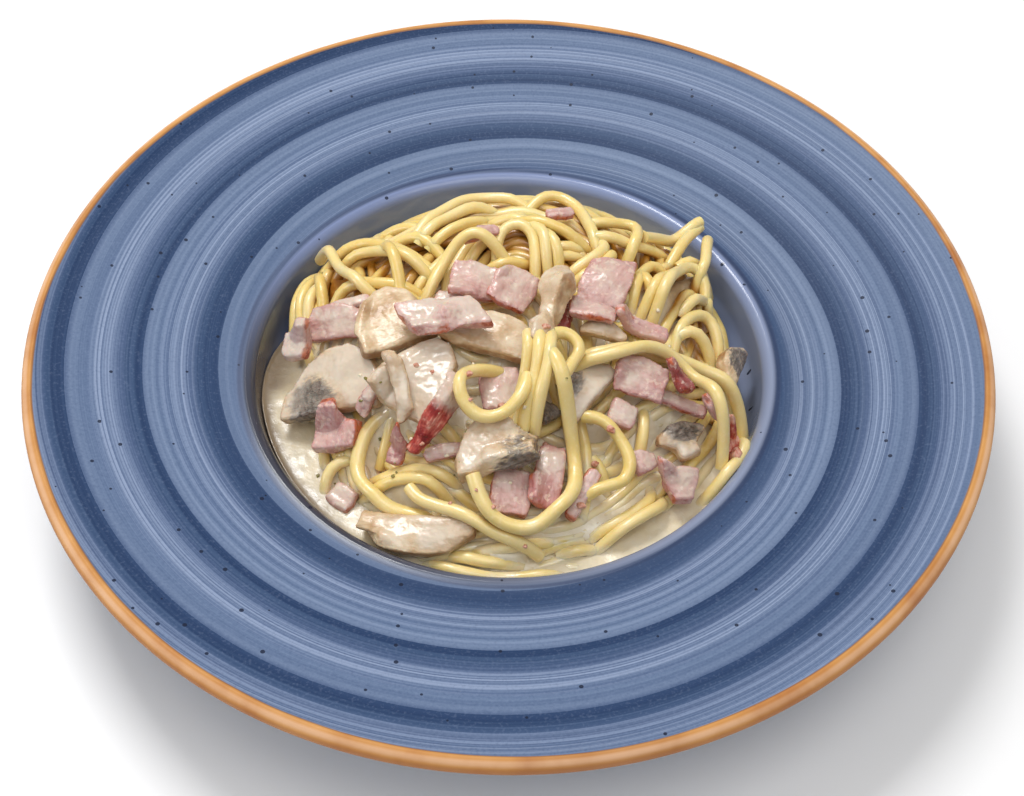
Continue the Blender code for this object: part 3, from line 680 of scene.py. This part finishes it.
below_toppings = np.where(np.isnan(topping_foot), NO_LIMIT, topping_foot - SKIN)
# painted light: the front strands get only the paler tones, standing in for light on the front of the
# heap
for group, painted_light_share in ((back_left + back_top + back_right, 0.0), (front, 0.5)):
    for stops in group:
        tone = painted_light_share + (1 - painted_light_share) * chance.random()
        keep_strand(laid, curve_through(stops), STRAND, tone, cap=below_toppings)
for stops, ends in free_ends:
    keep_strand(laid, curve_through(stops), STRAND, chance.random(), cap=below_toppings, ends=ends)
loose = []
for stops, girth in tucked_under:
    keep_strand(loose, curve_through(stops), girth * MILLI, 0.7, cap=below_toppings)
strand_top = pile.copy()
pile = np.fmax(pile, topping_top)
for stops, girth in fallen_over:
    keep_strand(loose, curve_through(stops), girth * MILLI, chance.uniform(0.35, 0.95))

# the cream's surface: it pools at the left and in front, fills the gaps of the heap where most of it
# was poured, and stays a little below the strands elsewhere
SAUCE_LEVEL = 0.0203
DRY_LEVEL = 0.0095
DRAINED = 0.0072  # how far the cream sank between strands that it wasn't poured on
KERNEL, EVENNESS = 14, 0.0026  # over how many cells and what length a field is evened out
spread = np.exp(-0.5 * (np.arange(-KERNEL, KERNEL + 1) * CELL / EVENNESS) ** 2)
spread /= spread.sum()


def soften(field):
    """The field with its peaks and gaps evened out."""
    for axis in (0, 1):
        padded = np.pad(field, [(KERNEL, KERNEL) if k == axis else (0, 0) for k in (0, 1)], "edge")
        parts = [np.take(padded, range(k, k + CELLS), axis) * w for k, w in enumerate(spread)]
        field = sum(parts)
    return field


# the wettest places on the heap: middle and reach in millimetres, and how full
wettest = [((-24, -20), (17, 15), 1.0), ((-2, -24), (12, 12), 1.0), ((-50, -12), (14, 14), 0.9),
           ((-46, -40), (8, 8), 0.6), ((-14, -49), (22, 10), 0.72), ((12, -48), (14, 14), 0.85),
           ((38, -32), (18, 16), 0.8), ((24, -2), (22, 12), 0.7), ((-6, 2), (24, 12), 0.8),
           ((10, -67), (46, 6), 0.95), ((30, -56), (20, 10), 0.85)]
wet = np.full_like(pile, 0.12)
for (mx, my), (rx, ry), full in wettest:
    away = np.hypot((grid_x / MILLI - mx) / rx, (grid_y / MILLI - my) / ry)
    wet = np.maximum(wet, full * np.clip(1.8 - away, 0, 1))
wet = soften(wet)


def level_at(turn_to):
    """Level of the pool at the well's wall, by direction: none at the back and at the right."""
    degrees = np.degrees(turn_to) % 360
    full, none = SAUCE_LEVEL, DRY_LEVEL
    return np.interp(degrees, [0, 150, 190, 334, 350, 360], [none, none, full, full, none, none])


near_topping = soften(np.where(np.isnan(topping_top), 0.0, 1.0))
sauce_level = level_at(grid_turn)
sauce_field = soften(np.maximum(strand_top, 0.012)) + 0.0004
sauce_field = sauce_field - (1 - wet) * DRAINED + near_topping * wet * 0.001
sauce_field = np.where(share > 1.0, sauce_level, np.maximum(sauce_field, sauce_level))
sauce_field = np.minimum(sauce_field, np.where(share > 0.97, sauce_level + 0.0005, 1.0))


def sauce_on(spots):
    """How much sauce clings to each point: 1 at the sauce's surface, less above it."""
    above = spots[:, 2] - read_field(sauce_field, spots)
    return np.clip(1 - above / 0.0028, 0, 1) * 0.75 + read_field(wet, spots) * 0.42


def depth_below(spots):
    """How deep each point lies in the heap: 0 at its top, 1 where hardly any light gets."""
    return np.clip((read_field(heap_skin, spots) - spots[:, 2]) / 0.0065, 0, 1)


heap_skin = soften(np.where(share < 1.0, strand_top, DRY_LEVEL)) + 0.0008

# each strand is swept by one tree: a round section along its route, with the ends cut square
tree, (routes, sides) = new_tree("cut_spaghetti", {"Sides": "Int"})
line = routes.geo("MeshToCurve")
girth_of = line.node("GeometryNodeInputNamedAttribute", {"data_type": "FLOAT"}, {"Name": "girth"})
line = line.geo("SetCurveRadius", {"Radius": girth_of})
ring_of = sides.node("GeometryNodeCurvePrimitiveCircle", sockets={"Resolution": sides, "Radius": 1.0})
tubes = line.geo("CurveToMesh", {"Profile Curve": ring_of, "Fill Caps": True, "Scale": girth_of})

pasta, pasta_shader, place = new_finish("spaghetti", {
    "Subsurface Radius": (1.0, 0.62, 0.25), "Coat Roughness": 0.14, "Specular IOR Level": 0.75},
    glow=(0.3, 0.0016))
soft_spots = place.mottle(120.0)
flour = place.mottle(900.0, 2.0)
boiled = (place.attribute("tone") * 0.45 + soft_spots * 0.75 - 0.1).ramp(
    (0.15, (226, 191, 100)), (0.45, (233, 206, 126)), (0.75, (238, 215, 150)))
film = (place.attribute("coat") + (place.mottle(210.0) - 0.5) * 0.8).fade(0.42, 0.95)
boiled = boiled.tint(
    (flour.fade(0.5, 0.75) * 0.2, (250, 236, 196)),
    # painted shade: strands darker and more orange where they lie deep in the heap
    (place.attribute("depth_shade").fade(0.08, 0.58) * 0.94, (174, 114, 18)),
    (film * 0.68, (238, 226, 198)))
feed(pasta_shader, {
    "Base Color": boiled, "Roughness": 0.3 - film * 0.1 + flour * 0.06,
    "Coat Weight": film * 0.35 + 0.25, "Relief": soft_spots * 0.0003 + flour * 0.00005})
close_tree(tubes, pasta)


def add_values(mesh, label, values):
    """Gives each vertex of a mesh a number or a vector under this label."""
    kind, part = ("FLOAT_VECTOR", "vector") if np.ndim(values) == 2 else ("FLOAT", "value")
    field = mesh.attributes.new(label, kind, "POINT").data
    field.foreach_set(part, np.asarray(values, np.float32).ravel())


def new_mesh(name, points, faces, finish):
    """A smooth mesh with one finish, put into the scene."""
    mesh = bpy.data.meshes.new(name)
    mesh.from_pydata([tuple(p) for p in points], [], faces)
    mesh.shade_smooth()
    mesh.materials.append(finish)
    return put(name, mesh)


def vertex_places(mesh):
    spots = np.zeros(len(mesh.vertices) * 3)
    mesh.vertices.foreach_get("co", spots)
    return spots.reshape(-1, 3)


def sweep_strands(name, strands, every, shaded):
    """Sweeps laid strands into one mesh of tubes; shaded is how dark they get where they lie deep."""
    points, edges, girths, tones = [], [], [], []
    for route, girth, tone in strands:
        first = len(points)
        kept = route[::every]
        if (len(route) - 1) % every:
            kept = np.vstack([kept, route[-1:]])
        swell = 1 + 0.05 * np.sin(np.arange(len(kept)) * 0.35 + tone * 40)
        points += [tuple(p) for p in kept]
        girths += list(girth * swell)
        tones += [tone] * len(kept)
        edges += [(k, k + 1) for k in range(first, len(points) - 1)]
    plan = bpy.data.meshes.new(name)
    plan.from_pydata(points, edges, [])
    add_values(plan, "girth", girths)
    add_values(plan, "tone", tones)
    made = grow(name, plan, tree, {"Sides": STRAND_SIDES})
    spots = vertex_places(made.data)
    add_values(made.data, "coat", sauce_on(spots))
    add_values(made.data, "depth_shade", depth_below(spots) * shaded)
    return made


bed = sweep_strands("spaghetti_bed", laid, 2, 1.0)
top_strands = sweep_strands("spaghetti_loose_loops", loose, 1, 0.3)
for piece in (bed, top_strands):
    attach(piece, "root")

# the core, which closes the gaps between strands
rings, spokes = 26, 90
turns = [math.tau * j / spokes for j in range(spokes)]
points = [(0, 0, float(core_top[CELLS // 2, CELLS // 2]))]
for k in range(1, rings + 1):
    for a in turns:
        r = CORE_SHARE * k / rings * float(heap_reach(a))
        x0, y0 = r * math.cos(a), r * math.sin(a)
        points.append((x0, y0, float(read_field(core_top, np.array([[x0, y0]]))[0])))
for a in turns:
    r = 0.85 * float(heap_reach(a))
    points.append((r * math.cos(a), r * math.sin(a), 0.0105))
points.append((0, 0, 0.0085))
faces = []
for j in range(spokes):
    a, b = 1 + j, 1 + (j + 1) % spokes
    faces.append((0, a, b))
    faces += [(a + k, a + k + spokes, b + k + spokes, b + k) for k in range(0, rings * spokes, spokes)]
    faces.append((rings * spokes + a, len(points) - 1, rings * spokes + b))
# painted shade: the core is coloured dark orange-brown, for pasta deep in the heap where little light
# gets
deep, deep_shader, place = new_finish("deep_spaghetti_painted_shade", {}, (0.1, 0.002))
blotch = place.mottle(160.0, 4.0)
feed(deep_shader, {
    "Base Color": blotch.ramp((0.3, (132, 78, 20)), (0.5, (170, 110, 36)), (0.7, (204, 156, 84))),
    "Roughness": blotch.fade(0.3, 0.7, 0.35, 0.55), "Relief": blotch * 0.001})
core = new_mesh("spaghetti_core", points, faces, deep)
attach(core, "root")
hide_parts("noodle_heap")

# ------------------------ ham, bacon and mushrooms
# Boiled ham cut into slices and cubes, a little fried bacon, and sliced button mushrooms. They were
# fried, stirred into the cream, and lie on the pasta with the sauce still on them.

GRAIN = 0.0004  # the size of the smallest dent in a fried piece
CRUMB = 100  # a bit with fewer corners than this has broken off, and is left out
DENT_SCALE = 230.0  # dents for each metre, and pores
PORE_SCALE = 3.5 * DENT_SCALE

tree, (cut, fineness, swell, dents, finish) = new_tree("fried_piece", {
    "Fineness": "Float", "Swell": "Float", "Dents": "Float", "Finish": "Material"})
block = cut.node("GeometryNodeMeshToVolume", {"resolution_mode": "VOXEL_SIZE"}, {
    "Mesh": cut, "Density": 1.0, "Voxel Size": fineness, "Interior Band Width": 0.002})
block = block.geo("VolumeToMesh", {"Threshold": 0.1})
island = block.node("GeometryNodeInputMeshIsland", output="Island Index")
corners_in = island.node("GeometryNodeAccumulateField", {"data_type": "INT"}, {
    "Value": 1, "Group ID": island}, "Total")
block = block.geo("DeleteGeometry", {"Selection": corners_in < CRUMB})
spot = block.node("GeometryNodeInputPosition")
softer = spot.node("GeometryNodeBlurAttribute", {"data_type": "FLOAT_VECTOR"}, {
    "Value": spot, "Iterations": 2})
block = block.geo("SetPosition", {"Position": softer})
pores = spot.mottle(PORE_SCALE, 2.0, 0.5)
height = (spot.mottle(DENT_SCALE) - 0.5) * dents + (pores - 0.5) * dents * 0.3 + swell
push = spot.node("GeometryNodeInputNormal").scaled(height)
close_tree(block.geo("SetPosition", {"Offset": push}), finish)


def cream_over(place, colour, relief, base_rough):
    """A food's colour, roughness and relief with a film of sauce where its coat attribute says."""
    coat = place.attribute("coat") + (place.mottle(260.0) - 0.5) * 0.6 + (place.mottle(75.0) - 0.5) * 1.5
    film = coat.fade(0.25, 0.7)
    thick = coat.fade(0.6, 0.95)
    return {"Base Color": colour.tint((film * 0.32 + thick * 0.46, (214, 200, 182))),
            "Roughness": base_rough - film * 0.12,
            "Relief": relief * (1 - film * 0.8) + coat.fade(0.4, 0.9) * 0.00015}


ham, ham_shader, place = new_finish("ham", {"Coat Weight": 0.3, "Coat Roughness": 0.14}, (0.2, 0.002))
fibre = place.attribute("grain", "Vector").mottle(1.0, 4.0, 0.65)
redness = place.mottle(150.0, 2.0) * 0.5 + fibre * 0.5 + (place.attribute("red") - 0.5) * 0.6
browned = place.attribute("rim") * 0.7 + place.attribute("brown")
scorch = (browned + (place.mottle(240.0) - 0.5) * 1.3).fade(0.5, 0.8)
pink = redness.ramp((0.28, (216, 184, 176)), (0.44, (202, 152, 146)), (0.60, (178, 110, 106)),
                    (0.85, (140, 36, 28)))
pink = pink.tint(
    (place.mottle(420.0).fade(0.56, 0.64) * 0.55, (236, 208, 190)),
    (place.mottle(700.0).fade(0.6, 0.7) * 0.5, (160, 92, 80)),
    (scorch * 0.85, (200, 100, 52)),
    (scorch * place.mottle(600.0).fade(0.48, 0.6) * 0.75, (142, 48, 24)))
feed(ham_shader, cream_over(place, pink, fibre * 0.0006, 0.4))

bacon, bacon_shader, place = new_finish("bacon", {}, (0.15, 0.002))
fibre = place.attribute("grain", "Vector").mottle(1.0)
lean = fibre * 0.5 + place.mottle(170.0) * 0.5 + (place.attribute("red") - 0.5) * -0.6
lean = lean.ramp((0.38, (112, 18, 14)), (0.48, (152, 36, 28)), (0.56, (188, 90, 72)),
                 (0.66, (226, 172, 150)))
feed(bacon_shader, cream_over(place, lean, fibre * 0.0008, 0.35))

mushroom, mushroom_shader, place = new_finish("mushroom", {
    "Coat Weight": 0.3, "Coat Roughness": 0.14}, (0.15, 0.002))
gills = place.attribute("gills")
stripes = place.attribute("grain", "Vector").mottle(1.6, 2.0, 0.5)
patches = place.mottle(130.0)
fringe = place.mottle(480.0, 4.0, 0.7)
skin = place.attribute("rim") + place.attribute("brown") + (place.mottle(300.0) - 0.5) * 0.7
dark = (gills * 1.5 + (stripes - 0.5) * 0.9 + (fringe - 0.5) * 0.6).fade(0.4, 0.8)
flesh = patches.ramp((0.30, (168, 130, 90)), (0.46, (200, 168, 128)), (0.64, (224, 202, 168)))
flesh = flesh.tint(
    (stripes.fade(0.5, 0.66) * 0.12, (164, 130, 98)),
    (skin.fade(0.65, 1.0) * 0.75, (150, 102, 56)),
    (dark * 0.88, fringe.ramp((0.4, (48, 42, 42)), (0.6, (122, 110, 102)))))
relief = stripes * (gills * 0.0009 + 0.0003) + patches * 0.0003
feed(mushroom_shader, cream_over(place, flesh, relief, 0.38))

# what each piece is like: how red, how browned at its rim, how much sauce lies on it
cooking = {
    "ham_left_block": (0.3, 0.36, 0.75), "ham_left_fold": (0.5, 0.15, 0.5),
    "ham_left_strip": (0.4, 0.05, 0.6), "ham_centre_slab": (0.4, 0.18, 0.6),
    "ham_right_top": (0.45, 0.0, 0.4), "ham_right_large": (0.45, 0.1, 0.35),
    "ham_red_fold": (1.0, 0.1, 0.1), "ham_dark_fold": (1.0, 0.2, 0.0), "ham_left_cube": (0.4, 0.3, 0.35),
    "ham_front_pale": (0.45, 0.15, 0.4), "ham_front_pink": (0.65, 0.1, 0.35),
    "ham_edge_strip": (0.2, 0.45, 0.3), "ham_small_left": (0.5, 0.35, 0.2),
    "mushroom_back_left": (0.0, 0.3, -0.2), "mushroom_long": (0.0, 0.35, 0.15),
    "mushroom_left": (0.0, 0.1, 0.8), "mushroom_sauce": (0.0, 0.25, 0.4),
    # mushroom_centre_right's heavy sauce is partly real cream and partly painted light, paler where the
    # loops above shade it
    "mushroom_centre_right": (0.0, 0.1, 0.8), "mushroom_far_right": (0.0, 0.1, 0.05),
    "bacon_red": (0.5, 0.0, 0.4), "bacon_rind": (0.3, 0.0, 0.15)}
# where the dark gills show: a place in millimetres, and how far they reach
gill_places = {
    "mushroom_left": ((-53, -21, 29), 9), "mushroom_front": ((4, -46, 38), 9),
    "mushroom_centre_right": ((16, -23, 44), 5), "mushroom_right": ((47, -28, 34), 7),
    "mushroom_coated": ((-20, -20, 40), 5), "mushroom_dark": ((10, -32, 40), 8),
    "mushroom_far_right": ((66, -4, 30), 6)}
# for each food: its finish, what a piece is usually like, how deep its dents are, how much it swells,
# how far its fibres run, and how much less sauce stays on its rim
foods = {"ham": (ham, (0.45, 0.12, 0.45), 0.0011, 0.0003, 0.008, 0.5),
         "bacon": (bacon, (0.5, 0.0, 0.1), 0.0012, 0.0003, 0.008, 0.5),
         "mushroom": (mushroom, (0.0, 0.1, 0.55), 0.0007, 0.0005, 0.0035, 0.8)}

for name in toppings:
    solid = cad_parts[name].data.copy()
    body = bmesh.new()
    body.from_mesh(solid)
    bmesh.ops.remove_doubles(body, verts=body.verts, dist=0.00001)
    body.to_mesh(solid)
    body.free()
    food = name.split("_")[0]
    finish, usual, dents, swell, run, rim_loss = foods[food]
    piece = grow(name + "_cooked", solid, tree, {"Fineness": GRAIN, "Swell": swell, "Dents": dents,
                                                 "Finish": finish})
    mesh = piece.data
    spots = vertex_places(mesh)
    facings = np.zeros(len(mesh.vertices) * 3)
    mesh.vertex_normals.foreach_get("vector", facings)
    facings = facings.reshape(-1, 3)
    middle = spots.mean(axis=0)
    axes = np.linalg.svd(spots[::7] - middle, full_matrices=False)[2]
    local = (spots - middle) @ axes.T
    red, brown, sauce = cooking.get(name, usual)
    side_on = 1 - np.abs(facings @ axes[2])
    reach = np.abs(local).max(axis=0)
    outer = np.maximum(np.abs(local[:, 0]) / reach[0], np.abs(local[:, 1]) / reach[1])
    rim = np.clip(side_on * 1.2 - 0.2, 0, 1) * 0.6 + np.clip(outer * 3 - 2.1, 0, 1) * 0.4
    coated = sauce + 0.35 * (facings[:, 2] - 0.6) + 0.5 * sauce_on(spots) - rim_loss * rim
    if name == "bacon_red":  # cream hides all of it but its front end
        coated += np.interp(spots[:, 1], [-0.04, -0.032], [-0.4, 0.8])
    if food == "mushroom":
        spot, far = gill_places.get(name, ((0, 0, 0), 1))
        away = np.linalg.norm(spots - np.array(spot) * MILLI, axis=1) / (far * MILLI)
        gilled = np.clip(1.35 - away, 0, 1)
        add_values(mesh, "gills", gilled)
        coated -= gilled * 0.9
    for label, values in (("red", red), ("brown", brown), ("rim", rim), ("coat", coated)):
        add_values(mesh, label, np.broadcast_to(values, len(spots)))
    add_values(mesh, "grain", local / np.array([run, 0.0014, 0.0014]))
    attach(piece, "root")
    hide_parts(name)

# ------------------------ cream sauce
# Thick cream with egg. It pools in the well in front of the heap, fills the gaps between strands and
# toppings where it was poured, and clings to what sticks out of it. Near the wall at the left it is
# painted darker: partly thin cream over the dark glaze, partly painted shade of the wall.

cream, cream_shader, place = new_finish("cream", {
    "Subsurface Radius": (1.0, 0.8, 0.5), "Coat Weight": 0.3, "Coat Roughness": 0.12}, (0.2, 0.002))
swirl = place.mottle(70.0)
curd = place.mottle(420.0)
tone = swirl.ramp((0.3, (220, 204, 168)), (0.5, (233, 220, 192)), (0.7, (242, 233, 212)))
tone = tone.tint(
    (curd.fade(0.6, 0.7) * 0.35, (246, 240, 226)),
    # painted shade and thin cream: darker brown near the wall at the left
    ((place.attribute("thin_cream_and_wall_shade") + (swirl - 0.5) * 0.5).fade(0.1, 0.85) * 0.9, (112, 92, 70)),
    # painted shade: the cream darker and tan where it lies deep in the heap
    (place.attribute("depth_shade").fade(0.35, 1.0) * 0.6, (208, 172, 116)))
feed(cream_shader, {
    "Base Color": tone, "Roughness": swirl.fade(0.3, 0.7, 0.4, 0.26),
    "Relief": curd * 0.00025 + swirl * 0.0008})


def wall_radius(height):
    return np.interp(height, *well[::-1])


rings, spokes, below = 140, 320, 24  # rings of the cream's top and of its underside
turns = math.tau * np.arange(spokes) / spokes
outer = wall_radius(level_at(turns)) - SKIN


def disc(shares):
    """Rings of points round the middle, at shares of the way to the well's wall; also their reach."""
    reach = np.maximum(np.outer(shares, outer), HUB * 4)
    flat = np.stack([reach * np.cos(turns), reach * np.sin(turns), np.zeros_like(reach)], axis=2)
    return flat.reshape(-1, 3), reach


tops, reach = disc(np.arange(rings + 1) / rings)
creep = 0.0007 * np.clip(1 - (outer - reach).ravel() / 0.0015, 0, 1) ** 2
lumps = np.array([noise.noise(Vector(p) * 170) + 0.5 * noise.noise(Vector(p) * 420) for p in tops])
lumps *= np.clip(read_field(wet, tops) * 1.4, 0.1, 1)
tops[:, 2] = read_field(sauce_field, tops) + creep + 0.0006 * lumps
feet, reach = disc(1 - np.arange(below + 1) / below)
feet[:, 2] = np.interp(reach.ravel(), *well) + SKIN
points = np.vstack([tops, feet])
faces = [tuple(range(spokes)), tuple(len(points) - 1 - m for m in range(spokes))]
for k in range(0, (rings + below + 1) * spokes, spokes):
    for m in range(spokes):
        a, b = k + m, k + (m + 1) % spokes
        faces.append((a, a + spokes, b + spokes, b))
sauce = new_mesh("cream_sauce_poured", points, faces, cream)
point_turn = np.arctan2(points[:, 1], points[:, 0])
degrees = np.degrees(point_turn) % 360
from_wall = wall_radius(level_at(point_turn)) - np.hypot(points[:, 0], points[:, 1])
# darker near the wall at the left: partly thin cream over the glaze, partly painted shade of the wall
left_side = np.interp(degrees, [170, 200, 225, 250], [1, 1, 0.7, 0.15])
thin_and_shaded = left_side * np.interp(from_wall, [0, 0.004, 0.03], [1.0, 0.36, 0.2])
# painted shade: a wider band of the wall's shade over the pool at the left
painted_wall_shade = np.interp(degrees, [150, 165, 184, 196], [0, 1, 1, 0])
painted_wall_shade = painted_wall_shade * np.interp(from_wall, [0, 0.014], [1.0, 0.3])
add_values(sauce.data, "thin_cream_and_wall_shade", np.maximum(thin_and_shaded, painted_wall_shade))
add_values(sauce.data, "depth_shade", depth_below(points))
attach(sauce, "root")
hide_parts("cream_sauce")

# ------------------------ crumbs in the sauce
# Small things that came with the sauce: flecks of herb, crumbs of ham and curds of cheese. They lie
# where the sauce is, and each kind is scattered by the same tree.

tree, (places, bit_size, bit_flat, seed, finish) = new_tree("scattered_bits", {
    "Size": "Float", "Flatness": "Float", "Seed": "Int", "Finish": "Material"})
grit = bit_size.node("GeometryNodeMeshIcoSphere", sockets={"Radius": bit_size, "Subdivisions": 3})
form = grit.node("GeometryNodeInputPosition")
coarse = bit_size.node("ShaderNodeMath", {"operation": "DIVIDE"}, {0: 0.7, 1: bit_size})
bumps = form.mottle(coarse, 1.0, 0.5)
grit = grit.geo("SetPosition", {"Offset": form.scaled(bumps * 1.6 - 0.8)})
squash = bit_flat.node("ShaderNodeCombineXYZ", sockets={0: 1.0, 1: 0.7, 2: bit_flat})
grit = grit.geo("Transform", {"Scale": squash})
spin = seed.node("FunctionNodeRandomValue", {"data_type": "FLOAT_VECTOR"}, {
    "Min": (-0.4, -0.4, 0.0), "Max": (0.4, 0.4, 6.28), "Seed": seed})
grade = seed.node("FunctionNodeRandomValue", {"data_type": "FLOAT"}, {
    "Min": 0.5, "Max": 1.5, "Seed": seed + 1})
bits = places.geo("InstanceOnPoints", {"Instance": grit, "Rotation": spin, "Scale": grade})
close_tree(bits, finish)

WELL_REACH = 0.066  # no crumb lies further out
top_of_dish = np.maximum(np.where(share < 1.0, pile, 0.0), sauce_field)


def scatter(name, count, region, size, flat, seed, colours):
    """Scatters one kind of crumb over part of the dish, given as a middle and a reach in millimetres."""
    (mx, my), (rx, ry) = region
    throw = np.random.default_rng(seed)
    spots = np.column_stack([throw.normal(mx, rx, count), throw.normal(my, ry, count)]) * MILLI
    spots = spots[np.hypot(*spots.T) < WELL_REACH]
    cloud = bpy.data.meshes.new(name + "_places")
    heights = read_field(top_of_dish, spots) + 0.0001
    cloud.from_pydata([(*p, float(h)) for p, h in zip(spots, heights)], [], [])
    made, shader, place = new_finish(name, {}, (0.1, 0.001))
    feed(shader, {"Base Color": place.mottle(900.0).ramp((0.35, colours[0]), (0.65, colours[1])),
                  "Roughness": place.mottle(500.0).fade(0.3, 0.7, 0.25, 0.5)})
    piece = grow(name, cloud, tree, {"Size": size, "Flatness": flat, "Seed": seed, "Finish": made})
    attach(piece, "root")


scatter("herb_flecks", 26, ((-25, -42), (26, 14)), 0.00055, 0.4, 3,
        ((96, 92, 40), (140, 128, 62)))
scatter("ham_crumbs", 24, ((12, -36), (28, 18)), 0.0009, 0.75, 5,
        ((184, 112, 84), (224, 178, 156)))
scatter("cheese_curds", 40, ((-8, -36), (34, 20)), 0.0005, 0.7, 8,
        ((220, 204, 170), (234, 222, 198)))

# ------------------------ table and light
# A plain pale table, a broad soft light behind the dish and a weaker one over the diner's shoulder.

cloth = new_finish("pale_table", {"Base Color": shade(246, 246, 246), "Roughness": 0.8})[0]
table = new_mesh("table", [(-3, -3, 0), (3, -3, 0), (3, 3, 0), (-3, 3, 0)], [(0, 1, 2, 3)], cloth)


def add_light(name, spot, size, power):
    """A soft rectangular light that looks at the middle of the dish."""
    lamp = bpy.data.lights.new(name, "AREA")
    lamp.shape = "RECTANGLE"
    lamp.size, lamp.size_y = size
    lamp.energy = power
    holder = put(name, lamp)
    holder.location = spot
    holder.rotation_euler = (DISH_MIDDLE - Vector(spot)).to_track_quat("-Z", "Y").to_euler()


DISH_MIDDLE = Vector((0, 0, 0.03))
add_light("key_softbox", (-0.3, 0.45, 1.1), (0.4, 0.4), 8.5)
add_light("front_fill", (0.12, -0.32, 1.2), (0.8, 0.6), 3.6)
add_light("side_window", (-1.0, -0.25, 0.38), (0.35, 0.25), 1.6)
world = bpy.data.worlds.new("studio")
world.use_nodes = True
backdrop = world.node_tree.nodes["Background"]
backdrop.inputs["Color"].default_value = (1, 1, 1, 1)
backdrop.inputs["Strength"].default_value = 0.5
bpy.context.scene.world = world
bpy.context.scene.view_settings.view_transform = "Standard"
